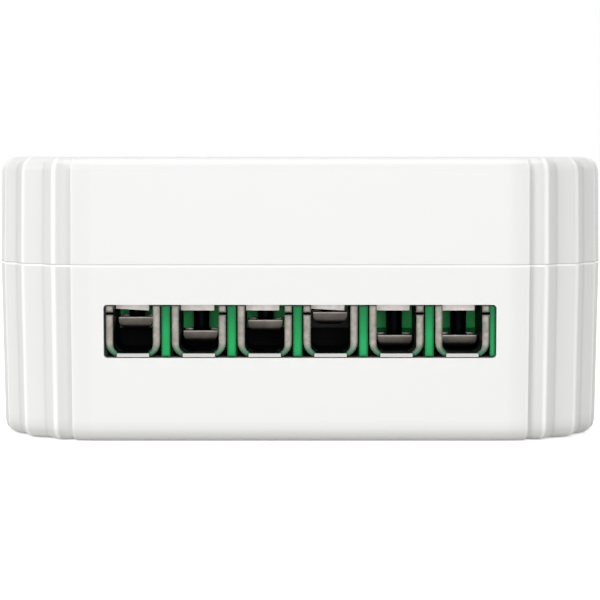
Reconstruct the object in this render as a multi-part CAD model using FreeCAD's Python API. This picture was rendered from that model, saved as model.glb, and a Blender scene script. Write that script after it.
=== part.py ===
import FreeCAD, Part
import math
import os
from FreeCAD import Vector

os.makedirs("parts", exist_ok=True)

# Smart relay module for a wall box. Millimetres, X to the right, Y to the back, Z up.
# The origin is under the middle of the case, and the wire entries face -Y.

# Case
CASE_WIDTH = 42.6
CASE_DEPTH = 42.6
CASE_HEIGHT = 19.5
PARTING_HEIGHT = 12.15
WALL = 1.6
FLOOR = 1.5
ROOF = 1.5
DRAFT_ANGLE = 1.0
TOP_ROUNDING = 1.0
BOTTOM_ROUNDING = 0.9
ROUNDING_STEPS = 3
CORNER_RADIUS = 7.2

# Fluted corners: three ribs between four V grooves, the same on both sides of the diagonal
GROOVE_DEPTH = 0.46
FIRST_GROOVE_ANGLE = 13.5
SECOND_GROOVE_ANGLE = 32.1
SHOULDER_ANGLE = 11.6
SHOULDER_RUN = 0.1
RIB_TIP_RADIUS = 0.5
CORNER_CHORD = 22.5

# Joint between the two shells
TONGUE_WIDTH = 0.6
TONGUE_HEIGHT = 1.0
TONGUE_CLEARANCE = 0.06
HOOK_WIDTH = 3.0
HOOK_THICKNESS = 0.85
HOOK_DEPTH = 3.2
HOOK_CATCH = 0.5
HOOK_CATCH_HEIGHT = 1.0
HOOK_SPACING = 18.0
HOOK_CLEARANCE = 0.1
HOOK_ROOT_HEIGHT = 2.4
HOLD_DOWN_SIZE = 1.8
HOLD_DOWN_INSET = 1.4

# Circuit board
BOARD_THICKNESS = 1.6
BOARD_BOTTOM = 3.2
BOARD_GAP = 1.5
BOARD_CORNER = 3.0
BOARD_FIT = 0.1
PIN_TAIL = 1.2
PIN_FIT = 0.1

# Terminals
TERMINALS = 6
TERMINAL_PITCH = 4.5
TERMINAL_SHIFT = -0.16
WINDOW_MARGIN = 0.2
WINDOW_BOTTOM = 5.8
WINDOW_TOP = 9.44
WINDOW_CORNER = 0.25
NOSE_RECESS = 0.3
RIB_WIDTH = 0.6
BLOCK_HEIGHT = 11.1
BLOCK_FLOOR = 1.03
BLOCK_BACK_WALL = 1.3
BLOCK_END_WALL = 0.75
BLOCK_FIT = 0.1
METAL_FIT = 0.03
CAGE_WIDTH = 3.71
CAGE_STRIP = 0.5
CAGE_FLOOR_THICKNESS = 0.3
CAGE_INNER_CORNER = 0.55
CAGE_COLLAR_CHORD = 15
CAGE_LOOP_CHORD = 45
CAGE_LIP_WIDTH = 2.2
CAGE_LIP_REACH = 0.16
WIRE_STOP_HEIGHT = 1.25
CAGE_LENGTH = 5.8
CAGE_HEIGHT = 6.8
SEAM_HEIGHT = 2.91
SEAM_GAP = 0.18
NUT_LIP_HEIGHT = 3.07
NUT_LIP_THICKNESS = 0.55
NUT_GAP = 0.33
NUT_LENGTH = 4.0
NUT_LIP_DEPTH = 0.7
NUT_TILT = 0.12
TILTED_NUTS = (1, 4)
LEFT_SEAMS = (1, 4)
SOLDER_LEG_WIDTH = 1.0
SOLDER_LEG_DEPTH = 0.6
SOLDER_LEG_SETBACK = 0.4
SCREW_HOLE_MARGIN = 0.25

# Clamp screws, M2, each with a neck that turns in its pressure foot
SCREW_RADIUS = 1.0
SCREW_FIT = 0.04
SCREW_HEAD_RADIUS = 1.9
SCREW_HEAD_HEIGHT = 1.2
SCREW_SLOT_WIDTH = 0.5
SCREW_SLOT_DEPTH = 0.6
SCREW_WELL_CLEARANCE = 0.15
ACCESS_RADIUS = 1.7
HIDDEN_SIDES = 12
DOG_RADIUS = 0.55
NECK_RADIUS = 0.4
NECK_FIT = 0.05
FOOT_LIP = 0.85
FOOT_LENGTH = 2.6
FOOT_WIDTH = 2.4
FOOT_STRIP = 0.35
FOOT_BEND = 0.35
FOOT_CHORD = 45
FOOT_EDGE = 0.55
FOOT_FIT = 0.1
FOOT_TOP_GAP = 0.08
# how far each foot stands above its closed place as the module is delivered
FOOT_LIFTS = (1.33, 0.38, 1.12, 1.67, 0.06, 0.07)

# Button, light pipe and their hole in the cover
BUTTON_RADIUS = 2.5
BUTTON_RECESS = 0.3
BUTTON_CLEARANCE = 0.12
BUTTON_FLANGE_WIDTH = 0.8
BUTTON_FLANGE_THICKNESS = 0.7
BUTTON_FLANGE_GAP = 0.05
BUTTON_STEM = 2.4
BUTTON_STEM_WEB = 0.8
BUTTON_TRAVEL = 0.25
SWITCH_SIZE = 6.0
SWITCH_HEIGHT = 3.4
PLUNGER_RADIUS = 1.7
PLUNGER_HEIGHT = 1.4
PLUNGER_ROOT = 0.8
PIPE_RADIUS = 1.0
PIPE_CLEARANCE = 0.02

# Relay
RELAY_LENGTH = 18.0
RELAY_WIDTH = 10.2
RELAY_HEIGHT = 12.3
RELAY_WALL = 0.5
RELAY_BASE = 1.0
COIL_RADIUS = 3.6
BOBBIN_RADIUS = 4.0
BOBBIN_CORE = 1.95
BOBBIN_FLANGE = 0.5
COIL_SIDES = 16
CORE_RADIUS = 1.5
POLE_RADIUS = 2.7
YOKE_THICKNESS = 0.9
YOKE_WIDTH = 6.0
COIL_LENGTH = 5.6
AIR_GAP = 0.4
ARMATURE_THICKNESS = 0.8
CONTACT_RADIUS = 0.9
CONTACT_HEIGHT = 0.35
CONTACT_GAP = 0.26
CONTACT_ARM = 4.4
LEAF_THICKNESS = 0.3

# Mains supply
TRANSFORMER_LENGTH = 10.2
TRANSFORMER_CORE_DEPTH = 4.8
TRANSFORMER_HEIGHT = 10.2
TRANSFORMER_LEG = 2.4
SPOOL_WALL = 0.6
SPOOL_FIT = 0.05
SPOOL_DEPTH = 1.7
PIN_RAIL_WIDTH = 2.8
PIN_RAIL_LENGTH = 9.8
CAPACITOR_RADIUS = 4.0
CAPACITOR_HEIGHT = 11.5
OUTPUT_CAPACITOR_RADIUS = 3.15
OUTPUT_CAPACITOR_HEIGHT = 7.0
CAN_SIDES = 24
VARISTOR_RADIUS = 3.6
VARISTOR_THICKNESS = 3.0

# Radio board
RADIO_LENGTH = 18.0
RADIO_WIDTH = 11.0
RADIO_THICKNESS = 0.8
SHIELD_LENGTH = 11.6
SHIELD_WIDTH = 9.4
SHIELD_HEIGHT = 2.0
SHIELD_WALL = 0.2

# Places that follow from the sizes above
HALF_WIDTH = CASE_WIDTH / 2
HALF_DEPTH = CASE_DEPTH / 2
INNER_X = HALF_WIDTH - WALL
INNER_Y = HALF_DEPTH - WALL
BOARD_X = INNER_X - BOARD_GAP
BOARD_Y = INNER_Y - BOARD_GAP
BOARD_TOP = BOARD_BOTTOM + BOARD_THICKNESS
ROOF_UNDERSIDE = CASE_HEIGHT - ROOF
TAIL_BOTTOM = BOARD_BOTTOM - PIN_TAIL
WINDOW_WIDTH = TERMINALS * TERMINAL_PITCH - WINDOW_MARGIN
NOSE_FRONT = -HALF_DEPTH + NOSE_RECESS
BLOCK_FRONT = -INNER_Y + BLOCK_FIT
CAGE_BACK = NOSE_FRONT + CAGE_LENGTH
LEG_BACK = CAGE_BACK - SOLDER_LEG_SETBACK
BLOCK_BACK = CAGE_BACK + METAL_FIT + BLOCK_BACK_WALL
BLOCK_TOP = BOARD_TOP + BLOCK_HEIGHT
CAGE_BOTTOM = BOARD_TOP + BLOCK_FLOOR
CAGE_FLOOR = CAGE_BOTTOM + CAGE_FLOOR_THICKNESS
CAGE_TOP = CAGE_BOTTOM + CAGE_HEIGHT
NUT_BOTTOM = CAGE_BOTTOM + NUT_LIP_HEIGHT
NUT_STEP = NUT_BOTTOM + NUT_LIP_THICKNESS
NUT_TOP = CAGE_TOP - CAGE_STRIP - METAL_FIT
SCREW_Y = BLOCK_FRONT + SCREW_HEAD_RADIUS + SCREW_WELL_CLEARANCE + 0.3
FOOT_CLOSED = CAGE_FLOOR + FOOT_FIT
DOG_LENGTH = NUT_STEP - FOOT_CLOSED
HEAD_UNDERSIDE = CAGE_TOP + FOOT_TOP_GAP - FOOT_CLOSED
BUTTON_FLANGE_RADIUS = BUTTON_RADIUS + BUTTON_FLANGE_WIDTH
BUTTON_X = BOARD_X - 8.0
BUTTON_Y = BOARD_Y - 6.0
PIPE_X = BUTTON_X - 6.0
PIPE_Y = BUTTON_Y
SWITCH_TOP = BOARD_TOP + SWITCH_HEIGHT
PLUNGER_TOP = SWITCH_TOP + PLUNGER_HEIGHT
LED_HEIGHT = 0.7
RELAY_X = -BOARD_X + RELAY_WIDTH / 2 + 0.6
RELAY_Y = BLOCK_BACK + 1.2 + RELAY_LENGTH / 2
TRANSFORMER_X = BOARD_X - TRANSFORMER_LENGTH / 2 - 1.0
TRANSFORMER_Y = BLOCK_BACK + 6.8


def save(node, *solids):
    shape = solids[0] if len(solids) == 1 else Part.makeCompound(list(solids))
    shape.exportStep(f"parts/{node}.step")


def box(x0, x1, y0, y1, z0, z1):
    return Part.makeBox(x1 - x0, y1 - y0, z1 - z0, Vector(x0, y0, z0))


def cylinder(radius, x, y, z0, z1):
    return Part.makeCylinder(radius, z1 - z0, Vector(x, y, z0))


def prism(radius, sides, x, y, z0, z1):
    """An upright prism with its corners on a circle, for round things that stay out of sight."""
    corners = []
    for i in range(sides + 1):
        angle = 2 * math.pi * (i % sides + 0.5) / sides
        corners.append(Vector(x + radius * math.cos(angle), y + radius * math.sin(angle), z0))
    return Part.Face(Part.makePolygon(corners)).extrude(Vector(0, 0, z1 - z0))


def joined(first, *others):
    return first.fuse(list(others)).removeSplitter()


def cut(solid, *tools):
    return solid.cut(list(tools))


def rounded_box(x0, x1, y0, y1, z0, z1, radius):
    solid = box(x0, x1, y0, y1, z0, z1)
    upright = [e for e in solid.Edges if abs(e.BoundBox.ZLength - (z1 - z0)) < 1e-6]
    return solid.makeFillet(radius, upright)


def turned(profile, x, y, z):
    """A solid of revolution about Z from (radius, height) corners, standing at x, y, z."""
    corners = [Vector(r, 0, h) for r, h in profile]
    face = Part.Face(Part.makePolygon(corners + corners[:1]))
    solid = face.revolve(Vector(0, 0, 0), Vector(0, 0, 1), 360)
    return solid.translated(Vector(x, y, z))


def chorded(corners, chord_angle):
    """The outline's points, with each rounded corner drawn in chords of about that many degrees."""
    count = len(corners)
    points = []
    for i, (x, y, radius) in enumerate(corners):
        before = Vector(x - corners[i - 1][0], y - corners[i - 1][1], 0).normalize()
        following = corners[(i + 1) % count]
        after = Vector(following[0] - x, following[1] - y, 0).normalize()
        turn = before.getAngle(after)
        if radius == 0 or turn < 1e-6:
            points.append((x, y))
            continue
        side = 1 if before.cross(after).z > 0 else -1
        start = Vector(x, y, 0) - before * (radius * math.tan(turn / 2))
        centre = start + Vector(-before.y, before.x, 0) * (side * radius)
        chords = max(2, round(math.degrees(turn) / chord_angle))
        for step in range(chords + 1):
            angle = side * turn * step / chords
            spoke = start - centre
            points.append((
                centre.x + spoke.x * math.cos(angle) - spoke.y * math.sin(angle),
                centre.y + spoke.x * math.sin(angle) + spoke.y * math.cos(angle)))
    return points


def polygon(points, z):
    corners = [Vector(x, y, z) for x, y in points]
    return Part.makePolygon(corners + corners[:1])


def fluted_corner(inset):
    """Corners of the outline round one case corner, from its circle's centre, as (x, y, radius)."""
    crest = CORNER_RADIUS - inset
    valley = crest - GROOVE_DEPTH
    shoulder = math.radians(SHOULDER_ANGLE)
    half = [(crest, crest * math.tan(shoulder / 2), crest)]
    half.append((
        crest * math.cos(shoulder) - SHOULDER_RUN * math.sin(shoulder),
        crest * math.sin(shoulder) + SHOULDER_RUN * math.cos(shoulder),
        0,
    ))
    first = math.radians(FIRST_GROOVE_ANGLE)
    second = math.radians(SECOND_GROOVE_ANGLE)
    half.append((valley * math.cos(first), valley * math.sin(first), 0))
    half.append(rib_tip(crest, valley, first, second))
    half.append((valley * math.cos(second), valley * math.sin(second), 0))
    middle = rib_tip(crest, valley, second, math.pi / 2 - second)
    return half + [middle] + [(y, x, radius) for x, y, radius in reversed(half)]


def rib_tip(crest, valley, groove, next_groove):
    """The sharp corner over a rib whose rounded tip lies on the crest circle."""
    half_angle = (next_groove - groove) / 2
    flank = math.atan2(crest - valley * math.cos(half_angle), valley * math.sin(half_angle))
    reach = crest + RIB_TIP_RADIUS * (1 / math.cos(flank) - 1)
    angle = groove + half_angle
    return reach * math.cos(angle), reach * math.sin(angle), RIB_TIP_RADIUS


def case_outline(inset, z):
    """The case outline at height z, drawn in by inset all round."""
    corner = fluted_corner(inset)
    centre_x = HALF_WIDTH - CORNER_RADIUS
    centre_y = HALF_DEPTH - CORNER_RADIUS
    corners = []
    corners += [(centre_x + x, centre_y + y, r) for x, y, r in corner]
    corners += [(-centre_x - y, centre_y + x, r) for x, y, r in corner]
    corners += [(-centre_x - x, -centre_y - y, r) for x, y, r in corner]
    corners += [(centre_x + y, -centre_y - x, r) for x, y, r in corner]
    return polygon(chorded(corners, CORNER_CHORD), z)


def case_form(end_height, rounding):
    """Drafted body from the parting plane to end_height, with a rounded edge there."""
    direction = 1 if end_height > PARTING_HEIGHT else -1
    wall_height = abs(end_height - PARTING_HEIGHT) - rounding
    draft = wall_height * math.tan(math.radians(DRAFT_ANGLE))
    start = PARTING_HEIGHT + direction * wall_height
    sections = [case_outline(0, PARTING_HEIGHT), case_outline(draft, start)]
    for step in range(1, ROUNDING_STEPS + 1):
        angle = math.pi / 2 * step / ROUNDING_STEPS
        inset = draft + rounding * (1 - math.cos(angle))
        sections.append(case_outline(inset, start + direction * rounding * math.sin(angle)))
    return Part.makeLoft(sections, True, True)


def cavity(inset, z0, z1):
    """The space inside a wall that is inset from the case faces."""
    x = HALF_WIDTH - inset
    y = HALF_DEPTH - inset
    return rounded_box(-x, x, -y, y, z0, z1, CORNER_RADIUS - inset)


def hook_places():
    for side in (-1, 1):
        for y in (-HOOK_SPACING / 2, HOOK_SPACING / 2):
            yield side, y


def side_box(side, x0, x1, y0, y1, z0, z1):
    """A box between x0 and x1 on the right side, or its mirror image on the left."""
    if side > 0:
        return box(x0, x1, y0, y1, z0, z1)
    return box(-x1, -x0, y0, y1, z0, z1)


def terminal_x(number):
    """The middle of a terminal, numbered 1 to TERMINALS from the left."""
    return TERMINAL_SHIFT + (number - (TERMINALS + 1) / 2) * TERMINAL_PITCH


HOOK_OUTER = INNER_X - HOOK_CLEARANCE
HOOK_BOTTOM = PARTING_HEIGHT - HOOK_DEPTH


def base_shell():
    shell = case_form(0, BOTTOM_ROUNDING)
    shell = cut(shell, cavity(WALL, FLOOR, PARTING_HEIGHT + 1))
    tongue_top = PARTING_HEIGHT + TONGUE_HEIGHT
    tongue = cut(
        cavity(WALL - TONGUE_WIDTH, PARTING_HEIGHT - 0.5, tongue_top),
        cavity(WALL, PARTING_HEIGHT - 1, tongue_top + 1),
    )
    window = rounded_window(WINDOW_WIDTH, WINDOW_BOTTOM, WINDOW_TOP)
    shell = cut(joined(shell, tongue), window)
    recesses = []
    for side, y in hook_places():
        depth = HOOK_CATCH + HOOK_CLEARANCE
        half = HOOK_WIDTH / 2 + 2 * HOOK_CLEARANCE
        recesses.append(side_box(
            side, INNER_X - 0.5, INNER_X + depth, y - half, y + half,
            HOOK_BOTTOM - HOOK_CLEARANCE, HOOK_BOTTOM + HOOK_CATCH_HEIGHT + 2 * HOOK_CLEARANCE,
        ))
    return joined(cut(shell, *recesses), *board_rests())


def rounded_window(width, bottom, top):
    """A window through the front wall, with small corner radii."""
    front, back = -HALF_DEPTH - 1, -INNER_Y + 0.5
    solid = box(-width / 2, width / 2, front, back, bottom, top)
    along = [e for e in solid.Edges if abs(e.BoundBox.YLength - (back - front)) < 1e-6]
    return solid.makeFillet(WINDOW_CORNER, along)


def board_rests():
    """Corner rests under the board, with a locating rib up the wall beside each."""
    rests = []
    rest = 3.0
    rib = 1.2
    for side in (-1, 1):
        for y in (-BOARD_Y + 5.0, BOARD_Y - 5.0):
            rests.append(side_box(
                side, BOARD_X - rest, INNER_X + 0.2, y - rib, y + rib, FLOOR - 0.2, BOARD_BOTTOM))
            rests.append(side_box(
                side, BOARD_X + BOARD_FIT, INNER_X + 0.2, y - rib, y + rib, FLOOR - 0.2, BOARD_TOP + 1))
    for x in (-BOARD_X / 3, BOARD_X / 3):
        rests.append(box(
            x - rib, x + rib, BOARD_Y - rest, INNER_Y + 0.2, FLOOR - 0.2, BOARD_BOTTOM))
        rests.append(box(
            x - rib, x + rib, BOARD_Y + BOARD_FIT, INNER_Y + 0.2, FLOOR - 0.2, BOARD_TOP + 1))
    return rests


def cover_shell():
    shell = case_form(CASE_HEIGHT, TOP_ROUNDING)
    shell = cut(shell, cavity(WALL, PARTING_HEIGHT - 1, ROOF_UNDERSIDE))
    rebate = TONGUE_WIDTH + TONGUE_CLEARANCE
    rebate_top = PARTING_HEIGHT + TONGUE_HEIGHT + TONGUE_CLEARANCE
    shell = cut(shell, cavity(WALL - rebate, PARTING_HEIGHT - 1, rebate_top))
    guide_half = TERMINALS * TERMINAL_PITCH / 2 + 0.4
    guide = box(
        TERMINAL_SHIFT - guide_half, TERMINAL_SHIFT + guide_half,
        -INNER_Y - 0.2, SCREW_Y + SCREW_HEAD_RADIUS + 0.5,
        BLOCK_TOP + BLOCK_FIT, ROOF_UNDERSIDE + 0.2,
    )
    shell = joined(shell, guide, *cover_hooks(), *hold_down_posts())
    access = [
        cylinder(ACCESS_RADIUS, terminal_x(k), SCREW_Y, BLOCK_TOP - 1, CASE_HEIGHT + 1)
        for k in range(1, TERMINALS + 1)
    ]
    button_hole = cylinder(
        BUTTON_RADIUS + BUTTON_CLEARANCE, BUTTON_X, BUTTON_Y, ROOF_UNDERSIDE - 1, CASE_HEIGHT + 1)
    pipe_hole = cylinder(
        PIPE_RADIUS + PIPE_CLEARANCE, PIPE_X, PIPE_Y, ROOF_UNDERSIDE - 1, CASE_HEIGHT + 1)
    return cut(shell, button_hole, pipe_hole, *access)


def cover_hooks():
    """Snap hooks that hang inside the base walls and catch in their recesses."""
    hooks = []
    for side, y in hook_places():
        y0, y1 = y - HOOK_WIDTH / 2, y + HOOK_WIDTH / 2
        root = PARTING_HEIGHT + TONGUE_HEIGHT + TONGUE_CLEARANCE
        hooks.append(side_box(
            side, HOOK_OUTER - HOOK_THICKNESS, HOOK_OUTER, y0, y1,
            HOOK_BOTTOM, root + HOOK_ROOT_HEIGHT))
        hooks.append(side_box(
            side, HOOK_OUTER - HOOK_THICKNESS, INNER_X + 0.2, y0, y1, root, root + HOOK_ROOT_HEIGHT))
        catch = Part.makePolygon([
            Vector(side * (HOOK_OUTER - 0.1), y0, HOOK_BOTTOM),
            Vector(side * HOOK_OUTER, y0, HOOK_BOTTOM),
            Vector(side * (HOOK_OUTER + HOOK_CATCH), y0, HOOK_BOTTOM + 0.8 * HOOK_CATCH_HEIGHT),
            Vector(side * (HOOK_OUTER + HOOK_CATCH), y0, HOOK_BOTTOM + HOOK_CATCH_HEIGHT),
            Vector(side * (HOOK_OUTER - 0.1), y0, HOOK_BOTTOM + HOOK_CATCH_HEIGHT),
            Vector(side * (HOOK_OUTER - 0.1), y0, HOOK_BOTTOM),
        ])
        hooks.append(Part.Face(catch).extrude(Vector(0, HOOK_WIDTH, 0)))
    return hooks


def hold_down_posts():
    """Posts from the roof that keep the back of the board on its rests."""
    inner = HOLD_DOWN_INSET + HOLD_DOWN_SIZE
    return [
        side_box(
            side, BOARD_X - inner, BOARD_X - HOLD_DOWN_INSET,
            BOARD_Y - inner, BOARD_Y - HOLD_DOWN_INSET,
            BOARD_TOP + BOARD_FIT, ROOF_UNDERSIDE + 0.2)
        for side in (-1, 1)
    ]


def u_profile(height, closed):
    """The cage's strip seen from the front, as a face at y = 0 and x = 0, standing on z = 0."""
    half = CAGE_WIDTH / 2
    inner = half - CAGE_STRIP
    outer_corner = CAGE_INNER_CORNER + CAGE_STRIP
    chord = CAGE_LOOP_CHORD if closed else CAGE_COLLAR_CHORD
    outside = upright_loop(half, 0, height, outer_corner, chord)
    inner_top = height - CAGE_STRIP if closed else height + 1
    inside = upright_loop(inner, CAGE_FLOOR_THICKNESS, inner_top, CAGE_INNER_CORNER, chord)
    return Part.Face(outside).cut(Part.Face(inside))


def upright_loop(half, bottom, top, lower_radius, chord_angle):
    """A closed outline in the XZ plane with rounded lower corners."""
    corners = [(-half, bottom, lower_radius), (half, bottom, lower_radius),
               (half, top, 0), (-half, top, 0)]
    wire = polygon(chorded(corners, chord_angle), 0)
    wire.rotate(Vector(0, 0, 0), Vector(1, 0, 0), 90)
    return wire


def terminal_cage(number):
    """Folded steel box: a U collar in the window, and a closed loop round the nut behind the wall."""
    x = terminal_x(number)
    loop_front = BLOCK_FRONT + 0.1
    loop = u_profile(CAGE_HEIGHT, True).extrude(Vector(0, CAGE_BACK - loop_front, 0))
    loop = loop.translated(Vector(x, loop_front, CAGE_BOTTOM))
    collar_height = WINDOW_TOP - 0.06 - CAGE_BOTTOM
    collar = u_profile(collar_height, False).extrude(Vector(0, loop_front + 0.2 - NOSE_FRONT, 0))
    collar = collar.translated(Vector(x, NOSE_FRONT, CAGE_BOTTOM))
    leg = box(
        x - SOLDER_LEG_WIDTH / 2, x + SOLDER_LEG_WIDTH / 2,
        LEG_BACK - SOLDER_LEG_DEPTH, LEG_BACK, TAIL_BOTTOM, CAGE_BOTTOM + 0.2)
    side = -1 if number in LEFT_SEAMS else 1
    seam_x = side * (CAGE_WIDTH / 2 - CAGE_STRIP / 2)
    seam_z = CAGE_BOTTOM + SEAM_HEIGHT
    seam = box(
        x + seam_x - CAGE_STRIP, x + seam_x + CAGE_STRIP,
        NOSE_FRONT - 1, loop_front, seam_z, seam_z + SEAM_GAP)
    half_hole = SCREW_RADIUS + SCREW_HOLE_MARGIN
    hole = box(
        x - half_hole, x + half_hole, SCREW_Y - half_hole, SCREW_Y + half_hole,
        NUT_TOP - 0.2, CAGE_TOP + 1)
    lip = box(
        x - CAGE_LIP_WIDTH / 2, x + CAGE_LIP_WIDTH / 2, NOSE_FRONT - CAGE_LIP_REACH, NOSE_FRONT + 0.2,
        CAGE_BOTTOM + 0.03, CAGE_FLOOR - 0.03)
    return cut(joined(loop, collar, leg, lip), seam, hole)


def wire_stop(number):
    """The end of the cage's floor, turned up behind the foot where the wire ends."""
    x = terminal_x(number)
    inner = CAGE_WIDTH / 2 - CAGE_STRIP
    front, back = CAGE_BACK - CAGE_FLOOR_THICKNESS, CAGE_BACK
    corners = upright_loop(inner, CAGE_FLOOR_THICKNESS, CAGE_FLOOR_THICKNESS + WIRE_STOP_HEIGHT,
                           CAGE_INNER_CORNER, CAGE_LOOP_CHORD)
    plate = Part.Face(corners).extrude(Vector(0, back - front, 0))
    return plate.translated(Vector(x, front, CAGE_BOTTOM))


def clamp_nut(number):
    """Loose nut in the cage, with a front lip that shows at the top of the wire entry."""
    x = terminal_x(number)
    inner = CAGE_WIDTH / 2 - CAGE_STRIP - METAL_FIT
    y0 = SCREW_Y - NUT_LENGTH / 2
    y1 = SCREW_Y + NUT_LENGTH / 2
    upper = box(x - inner, x + inner, y0, y1, NUT_STEP, NUT_TOP)
    tilt = NUT_TILT if number in TILTED_NUTS else 0
    right = inner - NUT_GAP
    lip = Part.makePolygon([
        Vector(x - inner, y0, NUT_STEP + 0.1),
        Vector(x - inner, y0, NUT_BOTTOM + tilt),
        Vector(x + right, y0, NUT_BOTTOM),
        Vector(x + right, y0, NUT_STEP + 0.1),
        Vector(x - inner, y0, NUT_STEP + 0.1),
    ])
    lip = Part.Face(lip).extrude(Vector(0, NUT_LIP_DEPTH, 0))
    thread_room = (SCREW_RADIUS + SCREW_FIT) / math.cos(math.pi / HIDDEN_SIDES)
    thread = prism(thread_room, HIDDEN_SIDES, x, SCREW_Y, NUT_STEP - 1, NUT_TOP + 1)
    return cut(joined(upper, lip), thread)


def clamp_screw(number):
    """Cheese-head screw with a long dog point, whose neck turns in the pressure foot."""
    bottom = FOOT_CLOSED + FOOT_LIFTS[number - 1]
    x = terminal_x(number)
    under_head = bottom + HEAD_UNDERSIDE
    top = under_head + SCREW_HEAD_HEIGHT
    shank_end = bottom + DOG_LENGTH
    head = cylinder(SCREW_HEAD_RADIUS, x, SCREW_Y, under_head, top)
    shank = prism(SCREW_RADIUS, HIDDEN_SIDES, x, SCREW_Y, shank_end, under_head + 0.1)
    dog = prism(DOG_RADIUS, HIDDEN_SIDES, x, SCREW_Y, bottom + FOOT_STRIP + 0.02, shank_end + 0.1)
    neck = prism(NECK_RADIUS, HIDDEN_SIDES, x, SCREW_Y, bottom + 0.02, bottom + FOOT_STRIP + 0.1)
    screw = joined(head, shank, dog, neck)
    slot = box(
        x - SCREW_HEAD_RADIUS - 1, x + SCREW_HEAD_RADIUS + 1,
        SCREW_Y - SCREW_SLOT_WIDTH / 2, SCREW_Y + SCREW_SLOT_WIDTH / 2,
        top - SCREW_SLOT_DEPTH, top + 1)
    slot.rotate(Vector(x, SCREW_Y, 0), Vector(0, 0, 1), 25 + 40 * number)
    return cut(screw, slot)


def pressure_foot(number):
    """Sheet channel with two upturned lips that presses the wire on the cage floor."""
    x = terminal_x(number)
    bottom = FOOT_CLOSED + FOOT_LIFTS[number - 1]
    half = FOOT_LENGTH / 2
    outer = [(-half, 0, FOOT_BEND), (half, 0, FOOT_BEND), (half, FOOT_LIP, 0), (-half, FOOT_LIP, 0)]
    inner_half = half - FOOT_STRIP
    inner = [(-inner_half, FOOT_STRIP), (inner_half, FOOT_STRIP),
             (inner_half, FOOT_LIP + 1), (-inner_half, FOOT_LIP + 1)]
    face = Part.Face(polygon(chorded(outer, FOOT_CHORD), 0)).cut(Part.Face(polygon(inner, 0)))
    channel = face.extrude(Vector(0, 0, FOOT_WIDTH))
    # the profile's x and y become the part's y and z, and its length lies along x
    channel.Placement = FreeCAD.Placement(
        Vector(x - FOOT_WIDTH / 2, SCREW_Y, bottom), FreeCAD.Rotation(Vector(1, 1, 1), 120))
    rounded_edges = upright_loop(FOOT_WIDTH / 2, 0, FOOT_LIP + 1, FOOT_EDGE, FOOT_CHORD)
    rounded_edges = Part.Face(rounded_edges).extrude(Vector(0, FOOT_LENGTH + 2, 0))
    channel = channel.common(rounded_edges.translated(Vector(x, SCREW_Y - FOOT_LENGTH / 2 - 1, bottom)))
    neck = NECK_RADIUS + NECK_FIT
    dog = DOG_RADIUS + NECK_FIT
    back = SCREW_Y + FOOT_LENGTH
    neck_slot = box(x - neck, x + neck, SCREW_Y - neck, back, bottom - 1, bottom + FOOT_STRIP + 0.01)
    dog_slot = box(x - dog, x + dog, SCREW_Y + neck, back, bottom + FOOT_STRIP, bottom + FOOT_LIP + 1)
    return cut(channel, neck_slot, dog_slot)


def terminal_body():
    """Moulded block with six bays, a well over each screw, and partition ribs in the window."""
    half = TERMINALS * TERMINAL_PITCH / 2 + BLOCK_END_WALL - (TERMINAL_PITCH - CAGE_WIDTH) / 2
    block = box(
        TERMINAL_SHIFT - half, TERMINAL_SHIFT + half, BLOCK_FRONT, BLOCK_BACK, BOARD_TOP, BLOCK_TOP)
    block = block.common(cavity(WALL + BLOCK_FIT, BOARD_TOP - 1, BLOCK_TOP + 1))
    bay_half = CAGE_WIDTH / 2 + METAL_FIT
    pockets = []
    for k in range(1, TERMINALS + 1):
        x = terminal_x(k)
        pockets.append(box(
            x - bay_half, x + bay_half, BLOCK_FRONT - 1, CAGE_BACK + METAL_FIT,
            CAGE_BOTTOM - METAL_FIT, CAGE_TOP + METAL_FIT))
        well = SCREW_HEAD_RADIUS + SCREW_WELL_CLEARANCE
        pockets.append(box(
            x - well, x + well, SCREW_Y - well, SCREW_Y + well, CAGE_TOP, BLOCK_TOP + 1))
        pockets.append(box(
            x - SOLDER_LEG_WIDTH / 2 - METAL_FIT, x + SOLDER_LEG_WIDTH / 2 + METAL_FIT,
            LEG_BACK - SOLDER_LEG_DEPTH - METAL_FIT, LEG_BACK + METAL_FIT,
            BOARD_TOP - 1, CAGE_BOTTOM))
    ribs = []
    rib_bottom = WINDOW_BOTTOM + 0.08
    rib_top = WINDOW_TOP - 0.08
    for k in range(1, TERMINALS):
        x = terminal_x(k) + TERMINAL_PITCH / 2
        ribs.append(box(
            x - RIB_WIDTH / 2, x + RIB_WIDTH / 2, NOSE_FRONT, BLOCK_FRONT + 0.2, rib_bottom, rib_top))
    last_edge = terminal_x(TERMINALS) + bay_half
    ribs.append(box(
        last_edge, WINDOW_WIDTH / 2 - 0.06, NOSE_FRONT, BLOCK_FRONT + 0.2, rib_bottom, rib_top))
    return joined(cut(block, *pockets), *ribs)


def cage_leg_slots():
    for k in range(1, TERMINALS + 1):
        x = terminal_x(k)
        yield box(
            x - SOLDER_LEG_WIDTH / 2 - PIN_FIT, x + SOLDER_LEG_WIDTH / 2 + PIN_FIT,
            LEG_BACK - SOLDER_LEG_DEPTH - PIN_FIT, LEG_BACK + PIN_FIT,
            BOARD_BOTTOM - 1, BOARD_TOP + 1)


def pin(x, y, width, depth, top):
    return box(x - width / 2, x + width / 2, y - depth / 2, y + depth / 2, TAIL_BOTTOM, top)


def pin_slot(x, y, width, depth):
    return box(
        x - width / 2 - PIN_FIT, x + width / 2 + PIN_FIT,
        y - depth / 2 - PIN_FIT, y + depth / 2 + PIN_FIT, BOARD_BOTTOM - 1, BOARD_TOP + 1)


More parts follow.
